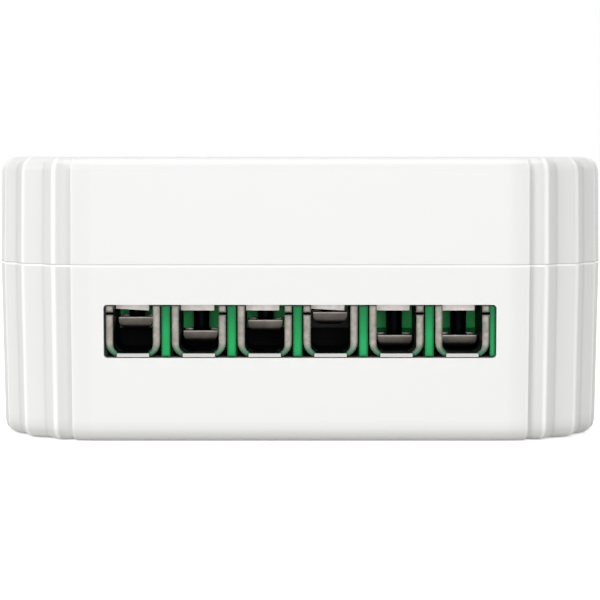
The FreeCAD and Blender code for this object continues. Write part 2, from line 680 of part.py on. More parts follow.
# Relay: its coil stands at COIL_Y, and the armature rocks on the top of the yoke
RELAY_TOP = BOARD_TOP + RELAY_HEIGHT
RELAY_FLOOR = BOARD_TOP + RELAY_BASE
COIL_Y = RELAY_Y - RELAY_LENGTH / 2 + RELAY_WALL + BOBBIN_RADIUS + 0.4
BOBBIN_BOTTOM = RELAY_FLOOR + YOKE_THICKNESS
BOBBIN_TOP = BOBBIN_BOTTOM + COIL_LENGTH + 2 * BOBBIN_FLANGE
POLE_TOP = BOBBIN_TOP + 0.5
YOKE_BACK = COIL_Y + BOBBIN_RADIUS + 0.2 + YOKE_THICKNESS
HINGE_Y = YOKE_BACK - YOKE_THICKNESS / 2
HINGE_Z = POLE_TOP
ARMATURE_BOTTOM = POLE_TOP + AIR_GAP
CONTACT_Y = HINGE_Y + CONTACT_ARM
FIXED_CONTACT_Z = ARMATURE_BOTTOM + LEAF_THICKNESS + CONTACT_HEIGHT + CONTACT_GAP


def relay_pins():
    """(x, y, width, depth) of the relay's solder pins: two for the coil, the yoke's and the contact's."""
    return [
        (RELAY_X - 2.6, COIL_Y - BOBBIN_RADIUS + 0.5, 0.6, 0.6),
        (RELAY_X + 2.6, COIL_Y - BOBBIN_RADIUS + 0.5, 0.6, 0.6),
        (RELAY_X, YOKE_BACK - YOKE_THICKNESS / 2, 1.2, 0.6),
        (RELAY_X, CONTACT_Y + 1.6, 1.2, 0.5),
    ]


def relay_case():
    x0, x1 = RELAY_X - RELAY_WIDTH / 2, RELAY_X + RELAY_WIDTH / 2
    y0, y1 = RELAY_Y - RELAY_LENGTH / 2, RELAY_Y + RELAY_LENGTH / 2
    outside = rounded_box(x0, x1, y0, y1, BOARD_TOP + 0.1, RELAY_TOP, 0.4)
    wall = RELAY_WALL
    inside = box(x0 + wall, x1 - wall, y0 + wall, y1 - wall, BOARD_TOP - 1, RELAY_TOP - wall)
    return cut(outside, inside)


def relay_base():
    gap = RELAY_WALL + 0.03
    plate = box(
        RELAY_X - RELAY_WIDTH / 2 + gap, RELAY_X + RELAY_WIDTH / 2 - gap,
        RELAY_Y - RELAY_LENGTH / 2 + gap, RELAY_Y + RELAY_LENGTH / 2 - gap,
        BOARD_TOP, RELAY_FLOOR)
    slots = [pin_slot(x, y, width - 0.14, depth - 0.14) for x, y, width, depth in relay_pins()]
    return cut(plate, *[slot.translated(Vector(0, 0, BOARD_THICKNESS)) for slot in slots])


def relay_yoke():
    """L-shaped iron: a foot under the bobbin and an upright that carries the armature."""
    half = YOKE_WIDTH / 2
    foot = box(
        RELAY_X - half, RELAY_X + half, COIL_Y - POLE_RADIUS, YOKE_BACK, RELAY_FLOOR, BOBBIN_BOTTOM)
    upright = box(
        RELAY_X - half, RELAY_X + half, YOKE_BACK - YOKE_THICKNESS, YOKE_BACK, RELAY_FLOOR, HINGE_Z)
    x, y, width, depth = relay_pins()[2]
    return joined(foot, upright, pin(x, y, width, depth, RELAY_FLOOR + 0.2))


def relay_core():
    rod = prism(CORE_RADIUS, COIL_SIDES, RELAY_X, COIL_Y, BOBBIN_BOTTOM, BOBBIN_TOP + 0.1)
    return joined(rod, prism(POLE_RADIUS, COIL_SIDES, RELAY_X, COIL_Y, BOBBIN_TOP, POLE_TOP))


def relay_bobbin():
    height = BOBBIN_TOP - BOBBIN_BOTTOM
    x0, x1 = RELAY_X - BOBBIN_RADIUS, RELAY_X + BOBBIN_RADIUS
    y0, y1 = COIL_Y - BOBBIN_RADIUS, COIL_Y + BOBBIN_RADIUS
    lower = box(x0, x1, y0, y1, BOBBIN_BOTTOM, BOBBIN_BOTTOM + BOBBIN_FLANGE)
    upper = box(x0, x1, y0, y1, BOBBIN_BOTTOM + height - BOBBIN_FLANGE, BOBBIN_BOTTOM + height - 0.03)
    tube = prism(
        BOBBIN_CORE, COIL_SIDES, RELAY_X, COIL_Y, BOBBIN_BOTTOM, BOBBIN_BOTTOM + height - 0.03)
    bore = prism(
        CORE_RADIUS + 0.03, COIL_SIDES, RELAY_X, COIL_Y, BOBBIN_BOTTOM - 1, BOBBIN_BOTTOM + height + 1)
    return cut(joined(lower, upper, tube), bore)


def relay_winding():
    z0 = BOBBIN_BOTTOM + BOBBIN_FLANGE + 0.02
    z1 = z0 + COIL_LENGTH - 0.06
    ring = prism(COIL_RADIUS, COIL_SIDES, RELAY_X, COIL_Y, z0, z1)
    return cut(ring, prism(BOBBIN_CORE + 0.02, COIL_SIDES, RELAY_X, COIL_Y, z0 - 1, z1 + 1))


def relay_armature():
    """Iron plate over the pole, with a rib that rocks on the yoke and a tail under the contact."""
    half = YOKE_WIDTH / 2
    plate = box(
        RELAY_X - half, RELAY_X + half, COIL_Y - POLE_RADIUS, YOKE_BACK + 0.8,
        ARMATURE_BOTTOM, ARMATURE_BOTTOM + ARMATURE_THICKNESS)
    rib = Part.makePolygon([
        Vector(RELAY_X - half, HINGE_Y - 0.35, ARMATURE_BOTTOM + 0.1),
        Vector(RELAY_X - half, HINGE_Y, HINGE_Z + 0.03),
        Vector(RELAY_X - half, HINGE_Y + 0.35, ARMATURE_BOTTOM + 0.1),
        Vector(RELAY_X - half, HINGE_Y - 0.35, ARMATURE_BOTTOM + 0.1),
    ])
    return joined(plate, Part.Face(rib).extrude(Vector(YOKE_WIDTH, 0, 0)))


def relay_moving_contact():
    """Leaf riveted on the armature's tail, with the moving contact on its free end."""
    leaf = box(
        RELAY_X - 1.6, RELAY_X + 1.6, YOKE_BACK + 0.8, CONTACT_Y + CONTACT_RADIUS + 0.1,
        ARMATURE_BOTTOM, ARMATURE_BOTTOM + LEAF_THICKNESS)
    contact = prism(
        CONTACT_RADIUS, COIL_SIDES, RELAY_X, CONTACT_Y, ARMATURE_BOTTOM + LEAF_THICKNESS - 0.05,
        ARMATURE_BOTTOM + LEAF_THICKNESS + CONTACT_HEIGHT)
    return joined(leaf, contact)


def relay_fixed_contact():
    """Bent strip from its solder pin up and over the moving contact."""
    x, y, width, depth = relay_pins()[3]
    top = FIXED_CONTACT_Z + CONTACT_HEIGHT + LEAF_THICKNESS
    post = box(x - 1.6, x + 1.6, y - depth / 2, y + depth / 2, RELAY_FLOOR, top)
    arm = box(
        x - 1.6, x + 1.6, CONTACT_Y - CONTACT_RADIUS, y + depth / 2,
        FIXED_CONTACT_Z + CONTACT_HEIGHT, top)
    contact = prism(
        CONTACT_RADIUS, COIL_SIDES, RELAY_X, CONTACT_Y,
        FIXED_CONTACT_Z, FIXED_CONTACT_Z + CONTACT_HEIGHT + 0.05)
    return joined(post, arm, contact, pin(x, y, width, depth, RELAY_FLOOR + 0.2))


def relay_coil_pins():
    return [pin(x, y, width, depth, BOBBIN_BOTTOM) for x, y, width, depth in relay_pins()[:2]]


def transformer_pins():
    """(x, y) of the transformer's eight pins, in two rows."""
    rail = TRANSFORMER_CORE_DEPTH / 2 + 1.9
    for row in (-rail, rail):
        for step in (-1.5, -0.5, 0.5, 1.5):
            yield TRANSFORMER_X + step * 2.5, TRANSFORMER_Y + row


CORE_BOTTOM = BOARD_TOP + 1.2


def transformer_core():
    """Two E cores face to face, with their middle leg through the bobbin."""
    half = TRANSFORMER_LENGTH / 2
    depth = TRANSFORMER_CORE_DEPTH / 2
    x, y = TRANSFORMER_X, TRANSFORMER_Y
    block = box(x - half, x + half, y - depth, y + depth, CORE_BOTTOM, CORE_BOTTOM + TRANSFORMER_HEIGHT)
    leg = TRANSFORMER_LEG
    side = leg / 2
    window_bottom = CORE_BOTTOM + side
    window_top = CORE_BOTTOM + TRANSFORMER_HEIGHT - side
    windows = [
        box(x - half + side, x - leg / 2, y - depth - 1, y + depth + 1, window_bottom, window_top),
        box(x + leg / 2, x + half - side, y - depth - 1, y + depth + 1, window_bottom, window_top),
    ]
    return cut(block, *windows)


def transformer_spool(margin, depth_margin, inset):
    """A rectangular tube round the core's middle leg, inset from the window's top and bottom."""
    x, y = TRANSFORMER_X, TRANSFORMER_Y
    side = TRANSFORMER_LEG / 2
    z0 = CORE_BOTTOM + side + inset
    z1 = CORE_BOTTOM + TRANSFORMER_HEIGHT - side - inset
    half_x = side + margin
    half_y = TRANSFORMER_CORE_DEPTH / 2 + depth_margin
    return box(x - half_x, x + half_x, y - half_y, y + half_y, z0, z1)


def transformer_bobbin():
    fit, wall = SPOOL_FIT, SPOOL_WALL
    x, y = TRANSFORMER_X, TRANSFORMER_Y
    room = (TRANSFORMER_LENGTH - 2 * TRANSFORMER_LEG) / 2 - 0.1
    tube = transformer_spool(wall, wall, fit)
    flanges = transformer_spool(room, SPOOL_DEPTH, fit)
    gap = cut(
        transformer_spool(room + 1, SPOOL_DEPTH + 2, wall + fit),
        transformer_spool(wall, wall, fit - 0.5),
    )
    spool = joined(cut(flanges, gap), tube)
    rails = []
    for side in (-1, 1):
        inner = y + side * (TRANSFORMER_CORE_DEPTH / 2 + 0.1)
        outer = inner + side * PIN_RAIL_WIDTH
        rails.append(box(
            x - PIN_RAIL_LENGTH / 2, x + PIN_RAIL_LENGTH / 2, min(inner, outer), max(inner, outer),
            BOARD_TOP, CORE_BOTTOM + TRANSFORMER_LEG / 2 + wall))
    leg = box(
        x - TRANSFORMER_LEG / 2 - fit, x + TRANSFORMER_LEG / 2 + fit,
        y - TRANSFORMER_CORE_DEPTH / 2 - fit, y + TRANSFORMER_CORE_DEPTH / 2 + fit,
        CORE_BOTTOM, CORE_BOTTOM + TRANSFORMER_HEIGHT)
    holes = [
        box(px - 0.32, px + 0.32, py - 0.32, py + 0.32, BOARD_TOP - 1, BOARD_TOP + 1.0)
        for px, py in transformer_pins()
    ]
    return cut(joined(spool, *rails), leg, *holes)


def transformer_winding():
    room = (TRANSFORMER_LENGTH - 2 * TRANSFORMER_LEG) / 2 - 0.3
    outside = transformer_spool(room, 1.5, 0.75)
    return cut(outside, transformer_spool(0.63, 0.63, 0))


def can_capacitor(x, y, radius, height):
    """Electrolytic can in its sleeve, on two leads."""
    body = prism(radius, CAN_SIDES, x, y, BOARD_TOP + 0.2, BOARD_TOP + 0.2 + height)
    leads = [pin(x + side * 1.25, y, 0.5, 0.5, BOARD_TOP + 0.3) for side in (-1, 1)]
    return joined(body, *leads)


def capacitor_places():
    """(x, y, radius, height) of the two input capacitors and the output capacitor."""
    left_edge = RELAY_X + RELAY_WIDTH / 2
    middle = (left_edge + TRANSFORMER_X - TRANSFORMER_LENGTH / 2) / 2
    first_y = BLOCK_BACK + 0.9 + CAPACITOR_RADIUS
    second_y = first_y + 2 * CAPACITOR_RADIUS + 0.5
    return [
        (middle, first_y, CAPACITOR_RADIUS, CAPACITOR_HEIGHT),
        (middle, second_y, CAPACITOR_RADIUS, CAPACITOR_HEIGHT),
        (TRANSFORMER_X + 2.2, TRANSFORMER_Y + 9.6, OUTPUT_CAPACITOR_RADIUS, OUTPUT_CAPACITOR_HEIGHT),
    ]


RADIO_Y = BOARD_Y - RADIO_WIDTH / 2 - 0.6
RADIO_X = -BOARD_X + RADIO_LENGTH / 2 + 3.4


def radio_board():
    half_x, half_y = RADIO_LENGTH / 2, RADIO_WIDTH / 2
    return box(
        RADIO_X - half_x, RADIO_X + half_x, RADIO_Y - half_y, RADIO_Y + half_y,
        BOARD_TOP, BOARD_TOP + RADIO_THICKNESS)


SHIELD_X = RADIO_X + RADIO_LENGTH / 2 - SHIELD_LENGTH / 2 - 0.7


def radio_shield():
    half_x, half_y = SHIELD_LENGTH / 2, SHIELD_WIDTH / 2
    z0 = BOARD_TOP + RADIO_THICKNESS
    can = rounded_box(
        SHIELD_X - half_x, SHIELD_X + half_x, RADIO_Y - half_y, RADIO_Y + half_y,
        z0, z0 + SHIELD_HEIGHT, 0.4)
    wall = SHIELD_WALL
    inside = box(
        SHIELD_X - half_x + wall, SHIELD_X + half_x - wall,
        RADIO_Y - half_y + wall, RADIO_Y + half_y - wall, z0 - 1, z0 + SHIELD_HEIGHT - wall)
    return cut(can, inside)


def radio_chips():
    """The processor and its crystal under the shield."""
    z0 = BOARD_TOP + RADIO_THICKNESS
    processor = box(SHIELD_X - 3.6, SHIELD_X + 1.4, RADIO_Y - 2.5, RADIO_Y + 2.5, z0, z0 + 0.9)
    crystal = box(SHIELD_X + 2.4, SHIELD_X + 4.9, RADIO_Y - 1.0, RADIO_Y + 1.0, z0, z0 + 0.7)
    return [processor, crystal]


def antenna():
    """Folded conductor on the end of the radio board that the shield leaves free."""
    z0 = BOARD_TOP + RADIO_THICKNESS
    z1 = z0 + 0.1
    x0 = RADIO_X - RADIO_LENGTH / 2 + 0.6
    x1 = SHIELD_X - SHIELD_LENGTH / 2 - 0.6
    width = 0.5
    turns = 5
    step = (RADIO_WIDTH - 2.0) / turns
    bars = []
    for i in range(turns + 1):
        y = RADIO_Y - RADIO_WIDTH / 2 + 1.0 + i * step
        bars.append(box(x0, x1, y - width / 2, y + width / 2, z0, z1))
        if i < turns:
            x = x1 - width if i % 2 else x0
            bars.append(box(x, x + width, y, y + step, z0, z1))
    return joined(*bars)


def button_cap():
    """Round key with a retaining flange and a stem that reaches the switch."""
    top = CASE_HEIGHT - BUTTON_RECESS
    flange_top = ROOF_UNDERSIDE - BUTTON_FLANGE_GAP
    flange_bottom = flange_top - BUTTON_FLANGE_THICKNESS
    cap = turned([
        (0, flange_bottom), (BUTTON_FLANGE_RADIUS, flange_bottom),
        (BUTTON_FLANGE_RADIUS, flange_top), (BUTTON_RADIUS, flange_top),
        (BUTTON_RADIUS, top), (0, top),
    ], BUTTON_X, BUTTON_Y, 0)
    long, short = BUTTON_STEM / 2, BUTTON_STEM_WEB / 2
    stem = [
        box(BUTTON_X - across, BUTTON_X + across, BUTTON_Y - along, BUTTON_Y + along,
            PLUNGER_TOP, flange_bottom + 0.2)
        for across, along in ((long, short), (short, long))
    ]
    return joined(cap, *stem)


def switch_plunger():
    return cylinder(PLUNGER_RADIUS, BUTTON_X, BUTTON_Y, SWITCH_TOP - PLUNGER_ROOT, PLUNGER_TOP)


def switch_legs():
    for side_x in (-1, 1):
        for side_y in (-1, 1):
            yield BUTTON_X + side_x * (SWITCH_SIZE / 2 - 0.3), BUTTON_Y + side_y * 2.25


def switch_body():
    half = SWITCH_SIZE / 2
    body = box(
        BUTTON_X - half, BUTTON_X + half, BUTTON_Y - half, BUTTON_Y + half, BOARD_TOP, SWITCH_TOP)
    well = cylinder(
        PLUNGER_RADIUS + 0.1, BUTTON_X, BUTTON_Y,
        SWITCH_TOP - PLUNGER_ROOT - BUTTON_TRAVEL - 0.15, SWITCH_TOP + 1)
    legs = [pin(x, y, 0.6, 0.6, BOARD_TOP + 0.2) for x, y in switch_legs()]
    return cut(joined(body, *legs), well)


def light_pipe():
    """Clear rod from the LED to the top face, held in the roof."""
    bottom = BOARD_TOP + LED_HEIGHT + 0.15
    return cylinder(PIPE_RADIUS, PIPE_X, PIPE_Y, bottom, CASE_HEIGHT - 0.1)


def status_led():
    return box(PIPE_X - 0.8, PIPE_X + 0.8, PIPE_Y - 0.4, PIPE_Y + 0.4, BOARD_TOP, BOARD_TOP + LED_HEIGHT)


VARISTOR_X = TRANSFORMER_X - 4.8
VARISTOR_Y = TRANSFORMER_Y + 9.6


def varistor():
    """Coated disc standing on two leads."""
    x, y = VARISTOR_X, VARISTOR_Y
    z = BOARD_TOP + 0.6 + VARISTOR_RADIUS
    disc = Part.makeCylinder(
        VARISTOR_RADIUS, VARISTOR_THICKNESS, Vector(x, y - VARISTOR_THICKNESS / 2, z), Vector(0, 1, 0))
    leads = [pin(x + side * 2.5, y, 0.6, 0.6, z - 1.5) for side in (-1, 1)]
    return joined(disc, *leads)


def board_slots():
    slots = list(cage_leg_slots())
    slots += [pin_slot(x, y, width, depth) for x, y, width, depth in relay_pins()]
    slots += [pin_slot(x, y, 0.6, 0.6) for x, y in transformer_pins()]
    slots += [pin_slot(x, y, 0.6, 0.6) for x, y in switch_legs()]
    slots += [pin_slot(VARISTOR_X + side * 2.5, VARISTOR_Y, 0.6, 0.6) for side in (-1, 1)]
    for x, y, radius, height in capacitor_places():
        slots += [pin_slot(x + side * 1.25, y, 0.5, 0.5) for side in (-1, 1)]
    return slots


def circuit_board():
    corners = [(x, y, BOARD_CORNER) for x, y in (
        (BOARD_X, -BOARD_Y), (BOARD_X, BOARD_Y), (-BOARD_X, BOARD_Y), (-BOARD_X, -BOARD_Y))]
    outline = Part.Face(polygon(chorded(corners, CORNER_CHORD), BOARD_BOTTOM))
    board = outline.extrude(Vector(0, 0, BOARD_THICKNESS))
    return cut(board, *board_slots())


def bottom_parts():
    """Small parts on the underside of the board: rectifier, converter chip, resistors."""
    top = BOARD_BOTTOM
    rectifier = box(BOARD_X - 8.0, BOARD_X - 3.2, 3.0, 7.0, top - 1.3, top)
    converter = box(BOARD_X - 13.6, BOARD_X - 8.6, 4.0, 8.0, top - 1.3, top)
    return rectifier, converter


def resistors():
    """A row of chip resistors on the underside."""
    length, width, height = 2.0, 1.25, 0.5
    rows = []
    for i in range(5):
        x = -8.0 + 4.0 * i
        rows.append(box(x, x + length, 10.0, 10.0 + width, BOARD_BOTTOM - height, BOARD_BOTTOM))
    return rows


save("base_shell", base_shell())
save("cover_shell", cover_shell())
save("terminal_body", terminal_body())
save("terminal_cages", *[terminal_cage(k) for k in range(1, TERMINALS + 1)])
save("wire_stops", *[wire_stop(k) for k in range(1, TERMINALS + 1)])
save("clamp_nuts", *[clamp_nut(k) for k in range(1, TERMINALS + 1)])
for terminal in range(1, TERMINALS + 1):
    save(f"clamp_screw_{terminal}", clamp_screw(terminal))
    save(f"pressure_foot_{terminal}", pressure_foot(terminal))
save("circuit_board", circuit_board())
save("relay_case", relay_case())
save("relay_base", relay_base())
save("relay_yoke", relay_yoke())
save("relay_core", relay_core())
save("relay_bobbin", relay_bobbin())
save("relay_winding", relay_winding())
save("relay_armature", relay_armature())
save("relay_moving_contact", relay_moving_contact())
save("relay_fixed_contact", relay_fixed_contact())
save("relay_coil_pins", *relay_coil_pins())
save("transformer_core", transformer_core())
save("transformer_bobbin", transformer_bobbin())
save("transformer_winding", transformer_winding())
save("transformer_pins", *[pin(x, y, 0.6, 0.6, BOARD_TOP + 0.98) for x, y in transformer_pins()])
capacitors = [can_capacitor(*place) for place in capacitor_places()]
save("input_capacitors", *capacitors[:2])
save("output_capacitor", capacitors[2])
save("varistor", varistor())
save("radio_board", radio_board())
save("radio_shield", radio_shield())
save("radio_chips", *radio_chips())
save("antenna", antenna())
save("button_cap", button_cap())
save("switch_plunger", switch_plunger())
save("switch_body", switch_body())
save("light_pipe", light_pipe())
save("status_led", status_led())
rectifier, converter = bottom_parts()
save("bridge_rectifier", rectifier)
save("converter_chip", converter)
save("chip_resistors", *resistors())
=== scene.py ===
import bmesh
import bpy
import math
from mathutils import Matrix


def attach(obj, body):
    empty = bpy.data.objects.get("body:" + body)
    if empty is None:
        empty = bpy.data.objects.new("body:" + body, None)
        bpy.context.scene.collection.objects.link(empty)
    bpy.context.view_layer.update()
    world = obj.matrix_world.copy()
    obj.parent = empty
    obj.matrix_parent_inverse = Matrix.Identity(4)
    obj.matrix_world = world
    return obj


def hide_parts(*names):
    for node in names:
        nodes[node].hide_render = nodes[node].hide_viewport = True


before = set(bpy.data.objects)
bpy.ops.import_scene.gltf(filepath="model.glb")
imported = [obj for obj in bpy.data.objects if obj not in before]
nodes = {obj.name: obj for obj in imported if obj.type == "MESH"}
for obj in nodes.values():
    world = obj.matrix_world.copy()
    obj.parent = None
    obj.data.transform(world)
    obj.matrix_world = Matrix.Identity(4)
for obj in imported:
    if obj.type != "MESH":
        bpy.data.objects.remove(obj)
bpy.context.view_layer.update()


# Base shell: the lower half of the case, injection moulded in white polycarbonate blend.
# Its outside is finely spark eroded, and its rim stands up as a tongue inside the cover.
# The two halves snap together; a painted grey line of shade and a painted bright line of highlight
# show where their rims meet.
def texture_group(name, inputs, outputs):
    """An empty shader node group with named inputs and outputs."""
    group = bpy.data.node_groups.new(name, "ShaderNodeTree")
    for label, kind, value in inputs:
        socket = group.interface.new_socket(label, in_out="INPUT", socket_type=kind)
        socket.default_value = value
    for label, kind in outputs:
        group.interface.new_socket(label, in_out="OUTPUT", socket_type=kind)
    return group, group.nodes.new("NodeGroupInput"), group.nodes.new("NodeGroupOutput")


def node(tree, kind, **settings):
    """A new node with its settings."""
    made = tree.nodes.new(kind)
    for key, value in settings.items():
        setattr(made, key, value)
    return made


def placed(tree, group, **values):
    """Places a node group in a material, with the material's own values on its inputs."""
    made = node(tree, "ShaderNodeGroup", node_tree=group)
    for label, value in values.items():
        made.inputs[label].default_value = value
    return made


def moulded_grain_group():
    """Fine eroded texture and slow flow shading of a moulding, as a height and a tone."""
    group, given, result = texture_group(
        "moulded_grain",
        [("Grain", "NodeSocketFloat", 9000.0), ("Flow", "NodeSocketFloat", 90.0)],
        [("Height", "NodeSocketFloat"), ("Tone", "NodeSocketFloat")])
    place = node(group, "ShaderNodeTexCoord")
    fine = node(group, "ShaderNodeTexNoise")
    fine.inputs["Detail"].default_value = 3.0
    slow = node(group, "ShaderNodeTexNoise")
    slow.inputs["Detail"].default_value = 2.0
    for noise, scale in ((fine, "Grain"), (slow, "Flow")):
        group.links.new(place.outputs["Object"], noise.inputs["Vector"])
        group.links.new(given.outputs[scale], noise.inputs["Scale"])
    group.links.new(fine.outputs["Fac"], result.inputs["Height"])
    group.links.new(slow.outputs["Fac"], result.inputs["Tone"])
    return group


def painted_flute_light_group():
    """Painted highlight and shade on the fluted corners: a gain over 1 on the rib crests, under 1 in
    the grooves.
    """
    corner_centre = 0.0141
    roof_radius, wall_radius = 0.00615, 0.00655
    # (degrees round the corner from the flat wall, painted gain), up to the rib in its middle
    half_corner = [
        (4.0, 0.98), (10.5, 0.98), (13.5, 1.13), (15.5, 0.98), (20.6, 0.88), (22.8, 1.22),
        (25.0, 0.96), (30.5, 0.96), (32.1, 0.88), (34.0, 0.95), (42.8, 0.96), (45.0, 1.22)]
    other_half = [(90.0 - degrees, level) for degrees, level in half_corner[:-1]]
    group, _, result = texture_group("painted_flute_light", [], [("Gain", "NodeSocketColor")])
    place = node(group, "ShaderNodeTexCoord")
    split = node(group, "ShaderNodeSeparateXYZ")
    group.links.new(place.outputs["Object"], split.inputs["Vector"])
    legs = []
    for axis in ("X", "Y"):
        side = node(group, "ShaderNodeMath", operation="ABSOLUTE")
        group.links.new(split.outputs[axis], side.inputs[0])
        leg = node(group, "ShaderNodeMath", operation="SUBTRACT")
        leg.inputs[1].default_value = corner_centre
        group.links.new(side.outputs["Value"], leg.inputs[0])
        legs.append(leg.outputs["Value"])
    angle = node(group, "ShaderNodeMath", operation="ARCTAN2")
    group.links.new(legs[0], angle.inputs[0])
    group.links.new(legs[1], angle.inputs[1])
    turn = node(group, "ShaderNodeMath", operation="DIVIDE")
    turn.inputs[1].default_value = math.pi / 2
    group.links.new(angle.outputs["Value"], turn.inputs[0])
    gain = node(group, "ShaderNodeValToRGB")
    gain.color_ramp.interpolation = "EASE"
    for end in (0, 1):
        gain.color_ramp.elements[end].color = (1.0, 1.0, 1.0, 1.0)
    for degrees, level in sorted(half_corner + other_half):
        stop = gain.color_ramp.elements.new(degrees / 90)
        stop.color = (level, level, level, 1.0)
    group.links.new(turn.outputs["Value"], gain.inputs["Fac"])
    across = node(group, "ShaderNodeCombineXYZ")
    group.links.new(legs[0], across.inputs["X"])
    group.links.new(legs[1], across.inputs["Y"])
    reach = node(group, "ShaderNodeVectorMath", operation="LENGTH")
    group.links.new(across.outputs["Vector"], reach.inputs[0])
    wall = node(group, "ShaderNodeMapRange", interpolation_type="SMOOTHSTEP")
    wall.inputs["From Min"].default_value = roof_radius
    wall.inputs["From Max"].default_value = wall_radius
    group.links.new(reach.outputs["Value"], wall.inputs["Value"])
    fluted = node(group, "ShaderNodeMix", data_type="RGBA")
    fluted.inputs["A"].default_value = (1.0, 1.0, 1.0, 1.0)
    group.links.new(wall.outputs["Result"], fluted.inputs["Factor"])
    group.links.new(gain.outputs["Color"], fluted.inputs["B"])
    group.links.new(fluted.outputs["Result"], result.inputs["Gain"])
    return group


def joint_shade_group():
    """A mask for painted shade: 1 on an open surface, falling to 0 in a joint or the bottom of a
    groove.
    """
    group, given, result = texture_group(
        "joint_shade",
        [("Reach", "NodeSocketFloat", 0.0016), ("Closed", "NodeSocketFloat", 0.55)],
        [("Mask", "NodeSocketFloat")])
    free = node(group, "ShaderNodeAmbientOcclusion", samples=8)
    tone = node(group, "ShaderNodeMapRange")
    group.links.new(given.outputs["Reach"], free.inputs["Distance"])
    group.links.new(given.outputs["Closed"], tone.inputs["From Min"])
    group.links.new(free.outputs["AO"], tone.inputs["Value"])
    group.links.new(tone.outputs["Result"], result.inputs["Mask"])
    return group


def along_group():
    """A mask that rises from 0 to 1 between two places on one axis of the object, in metres."""
    group, given, result = texture_group(
        "along",
        [("Axis", "NodeSocketVector", (0.0, 1.0, 0.0)), ("From", "NodeSocketFloat", 0.0),
         ("To", "NodeSocketFloat", 1.0)],
        [("Mask", "NodeSocketFloat")])
    place = node(group, "ShaderNodeTexCoord")
    distance = node(group, "ShaderNodeVectorMath", operation="DOT_PRODUCT")
    group.links.new(place.outputs["Object"], distance.inputs[0])
    group.links.new(given.outputs["Axis"], distance.inputs[1])
    span = node(group, "ShaderNodeMapRange", interpolation_type="SMOOTHSTEP")
    group.links.new(distance.outputs["Value"], span.inputs["Value"])
    group.links.new(given.outputs["From"], span.inputs["From Min"])
    group.links.new(given.outputs["To"], span.inputs["From Max"])
    group.links.new(span.outputs["Result"], result.inputs["Mask"])
    return group


moulded_grain = moulded_grain_group()
painted_flute_light = painted_flute_light_group()
joint_shade = joint_shade_group()
along = along_group()
upward, downward, inward, outward = (0, 0, 1), (0, 0, -1), (0, 1, 0), (0, -1, 0)


def finish(name, roughness, metallic=0.0):
    """A new material with its shader node, which the caller fills in."""
    material = bpy.data.materials.new(name)
    material.use_nodes = True
    shader = material.node_tree.nodes["Principled BSDF"]
    shader.inputs["Roughness"].default_value = roughness
    shader.inputs["Metallic"].default_value = metallic
    return material, material.node_tree, shader


def blend_colours(tree, amount, first, second, target):
    """Goes from the first colour to the second by a mask, and feeds the target."""
    mix = node(tree, "ShaderNodeMix", data_type="RGBA")
    mix.inputs["A"].default_value = (*first, 1.0)
    mix.inputs["B"].default_value = (*second, 1.0)
    tree.links.new(amount, mix.inputs["Factor"])
    tree.links.new(mix.outputs["Result"], target)
    return mix.outputs["Result"]


def tint(tree, source, amount, colour, target):
    """Blends a plain colour into the source by a mask, and feeds the target."""
    mix = node(tree, "ShaderNodeMix", data_type="RGBA")
    mix.inputs["B"].default_value = (*colour, 1.0)
    tree.links.new(amount, mix.inputs["Factor"])
    tree.links.new(source, mix.inputs["A"])
    tree.links.new(mix.outputs["Result"], target)
    return mix.outputs["Result"]


def multiply_colours(tree, first, second, target):
    """Multiplies the source by a gain, and feeds the target."""
    product = node(tree, "ShaderNodeMix", data_type="RGBA", blend_type="MULTIPLY")
    product.inputs["Factor"].default_value = 1.0
    tree.links.new(first, product.inputs["A"])
    tree.links.new(second, product.inputs["B"])
    tree.links.new(product.outputs["Result"], target)
    return product.outputs["Result"]


def fade(tree, source, colour, axis, start, end, target):
    """Blends a colour into the source between two places on an axis, and feeds the target."""
    mask = placed(tree, along, Axis=axis, From=start, To=end)
    return tint(tree, source, mask.outputs["Mask"], colour, target)


def bump(tree, shader, height, strength, distance):
    """Raises the surface by a height texture. The distance is in metres."""
    raised = node(tree, "ShaderNodeBump")
    raised.inputs["Strength"].default_value = strength
    raised.inputs["Distance"].default_value = distance
    tree.links.new(height, raised.inputs["Height"])
    tree.links.new(raised.outputs["Normal"], shader.inputs["Normal"])


def shell_plastic(name, light, shaded, roughness, painted_rim_shading, axis, start, end):
    """Fine eroded white with painted shade in the grooves, painted highlights on the rib crests and a
    painted rim line.
    """
    material, tree, shader = finish(name, roughness)
    colour = shader.inputs["Base Color"]
    skin = placed(tree, moulded_grain, Grain=9000.0)
    bump(tree, shader, skin.outputs["Height"], 0.4, 0.000003)
    # painted shade in the grooves and joints
    free = placed(tree, joint_shade, Reach=0.0016, Closed=0.55)
    wall = blend_colours(tree, free.outputs["Mask"], shaded, light, colour)
    # painted highlights on the rib crests and painted shade in the grooves
    flute_light = placed(tree, painted_flute_light)
    flute_lit = multiply_colours(tree, wall, flute_light.outputs["Gain"], colour)
    fade(tree, flute_lit, painted_rim_shading, axis, start, end, colour)
    return material


def wear(piece, material):
    """Gives a piece its one material."""
    piece.data.materials.clear()
    piece.data.materials.append(material)


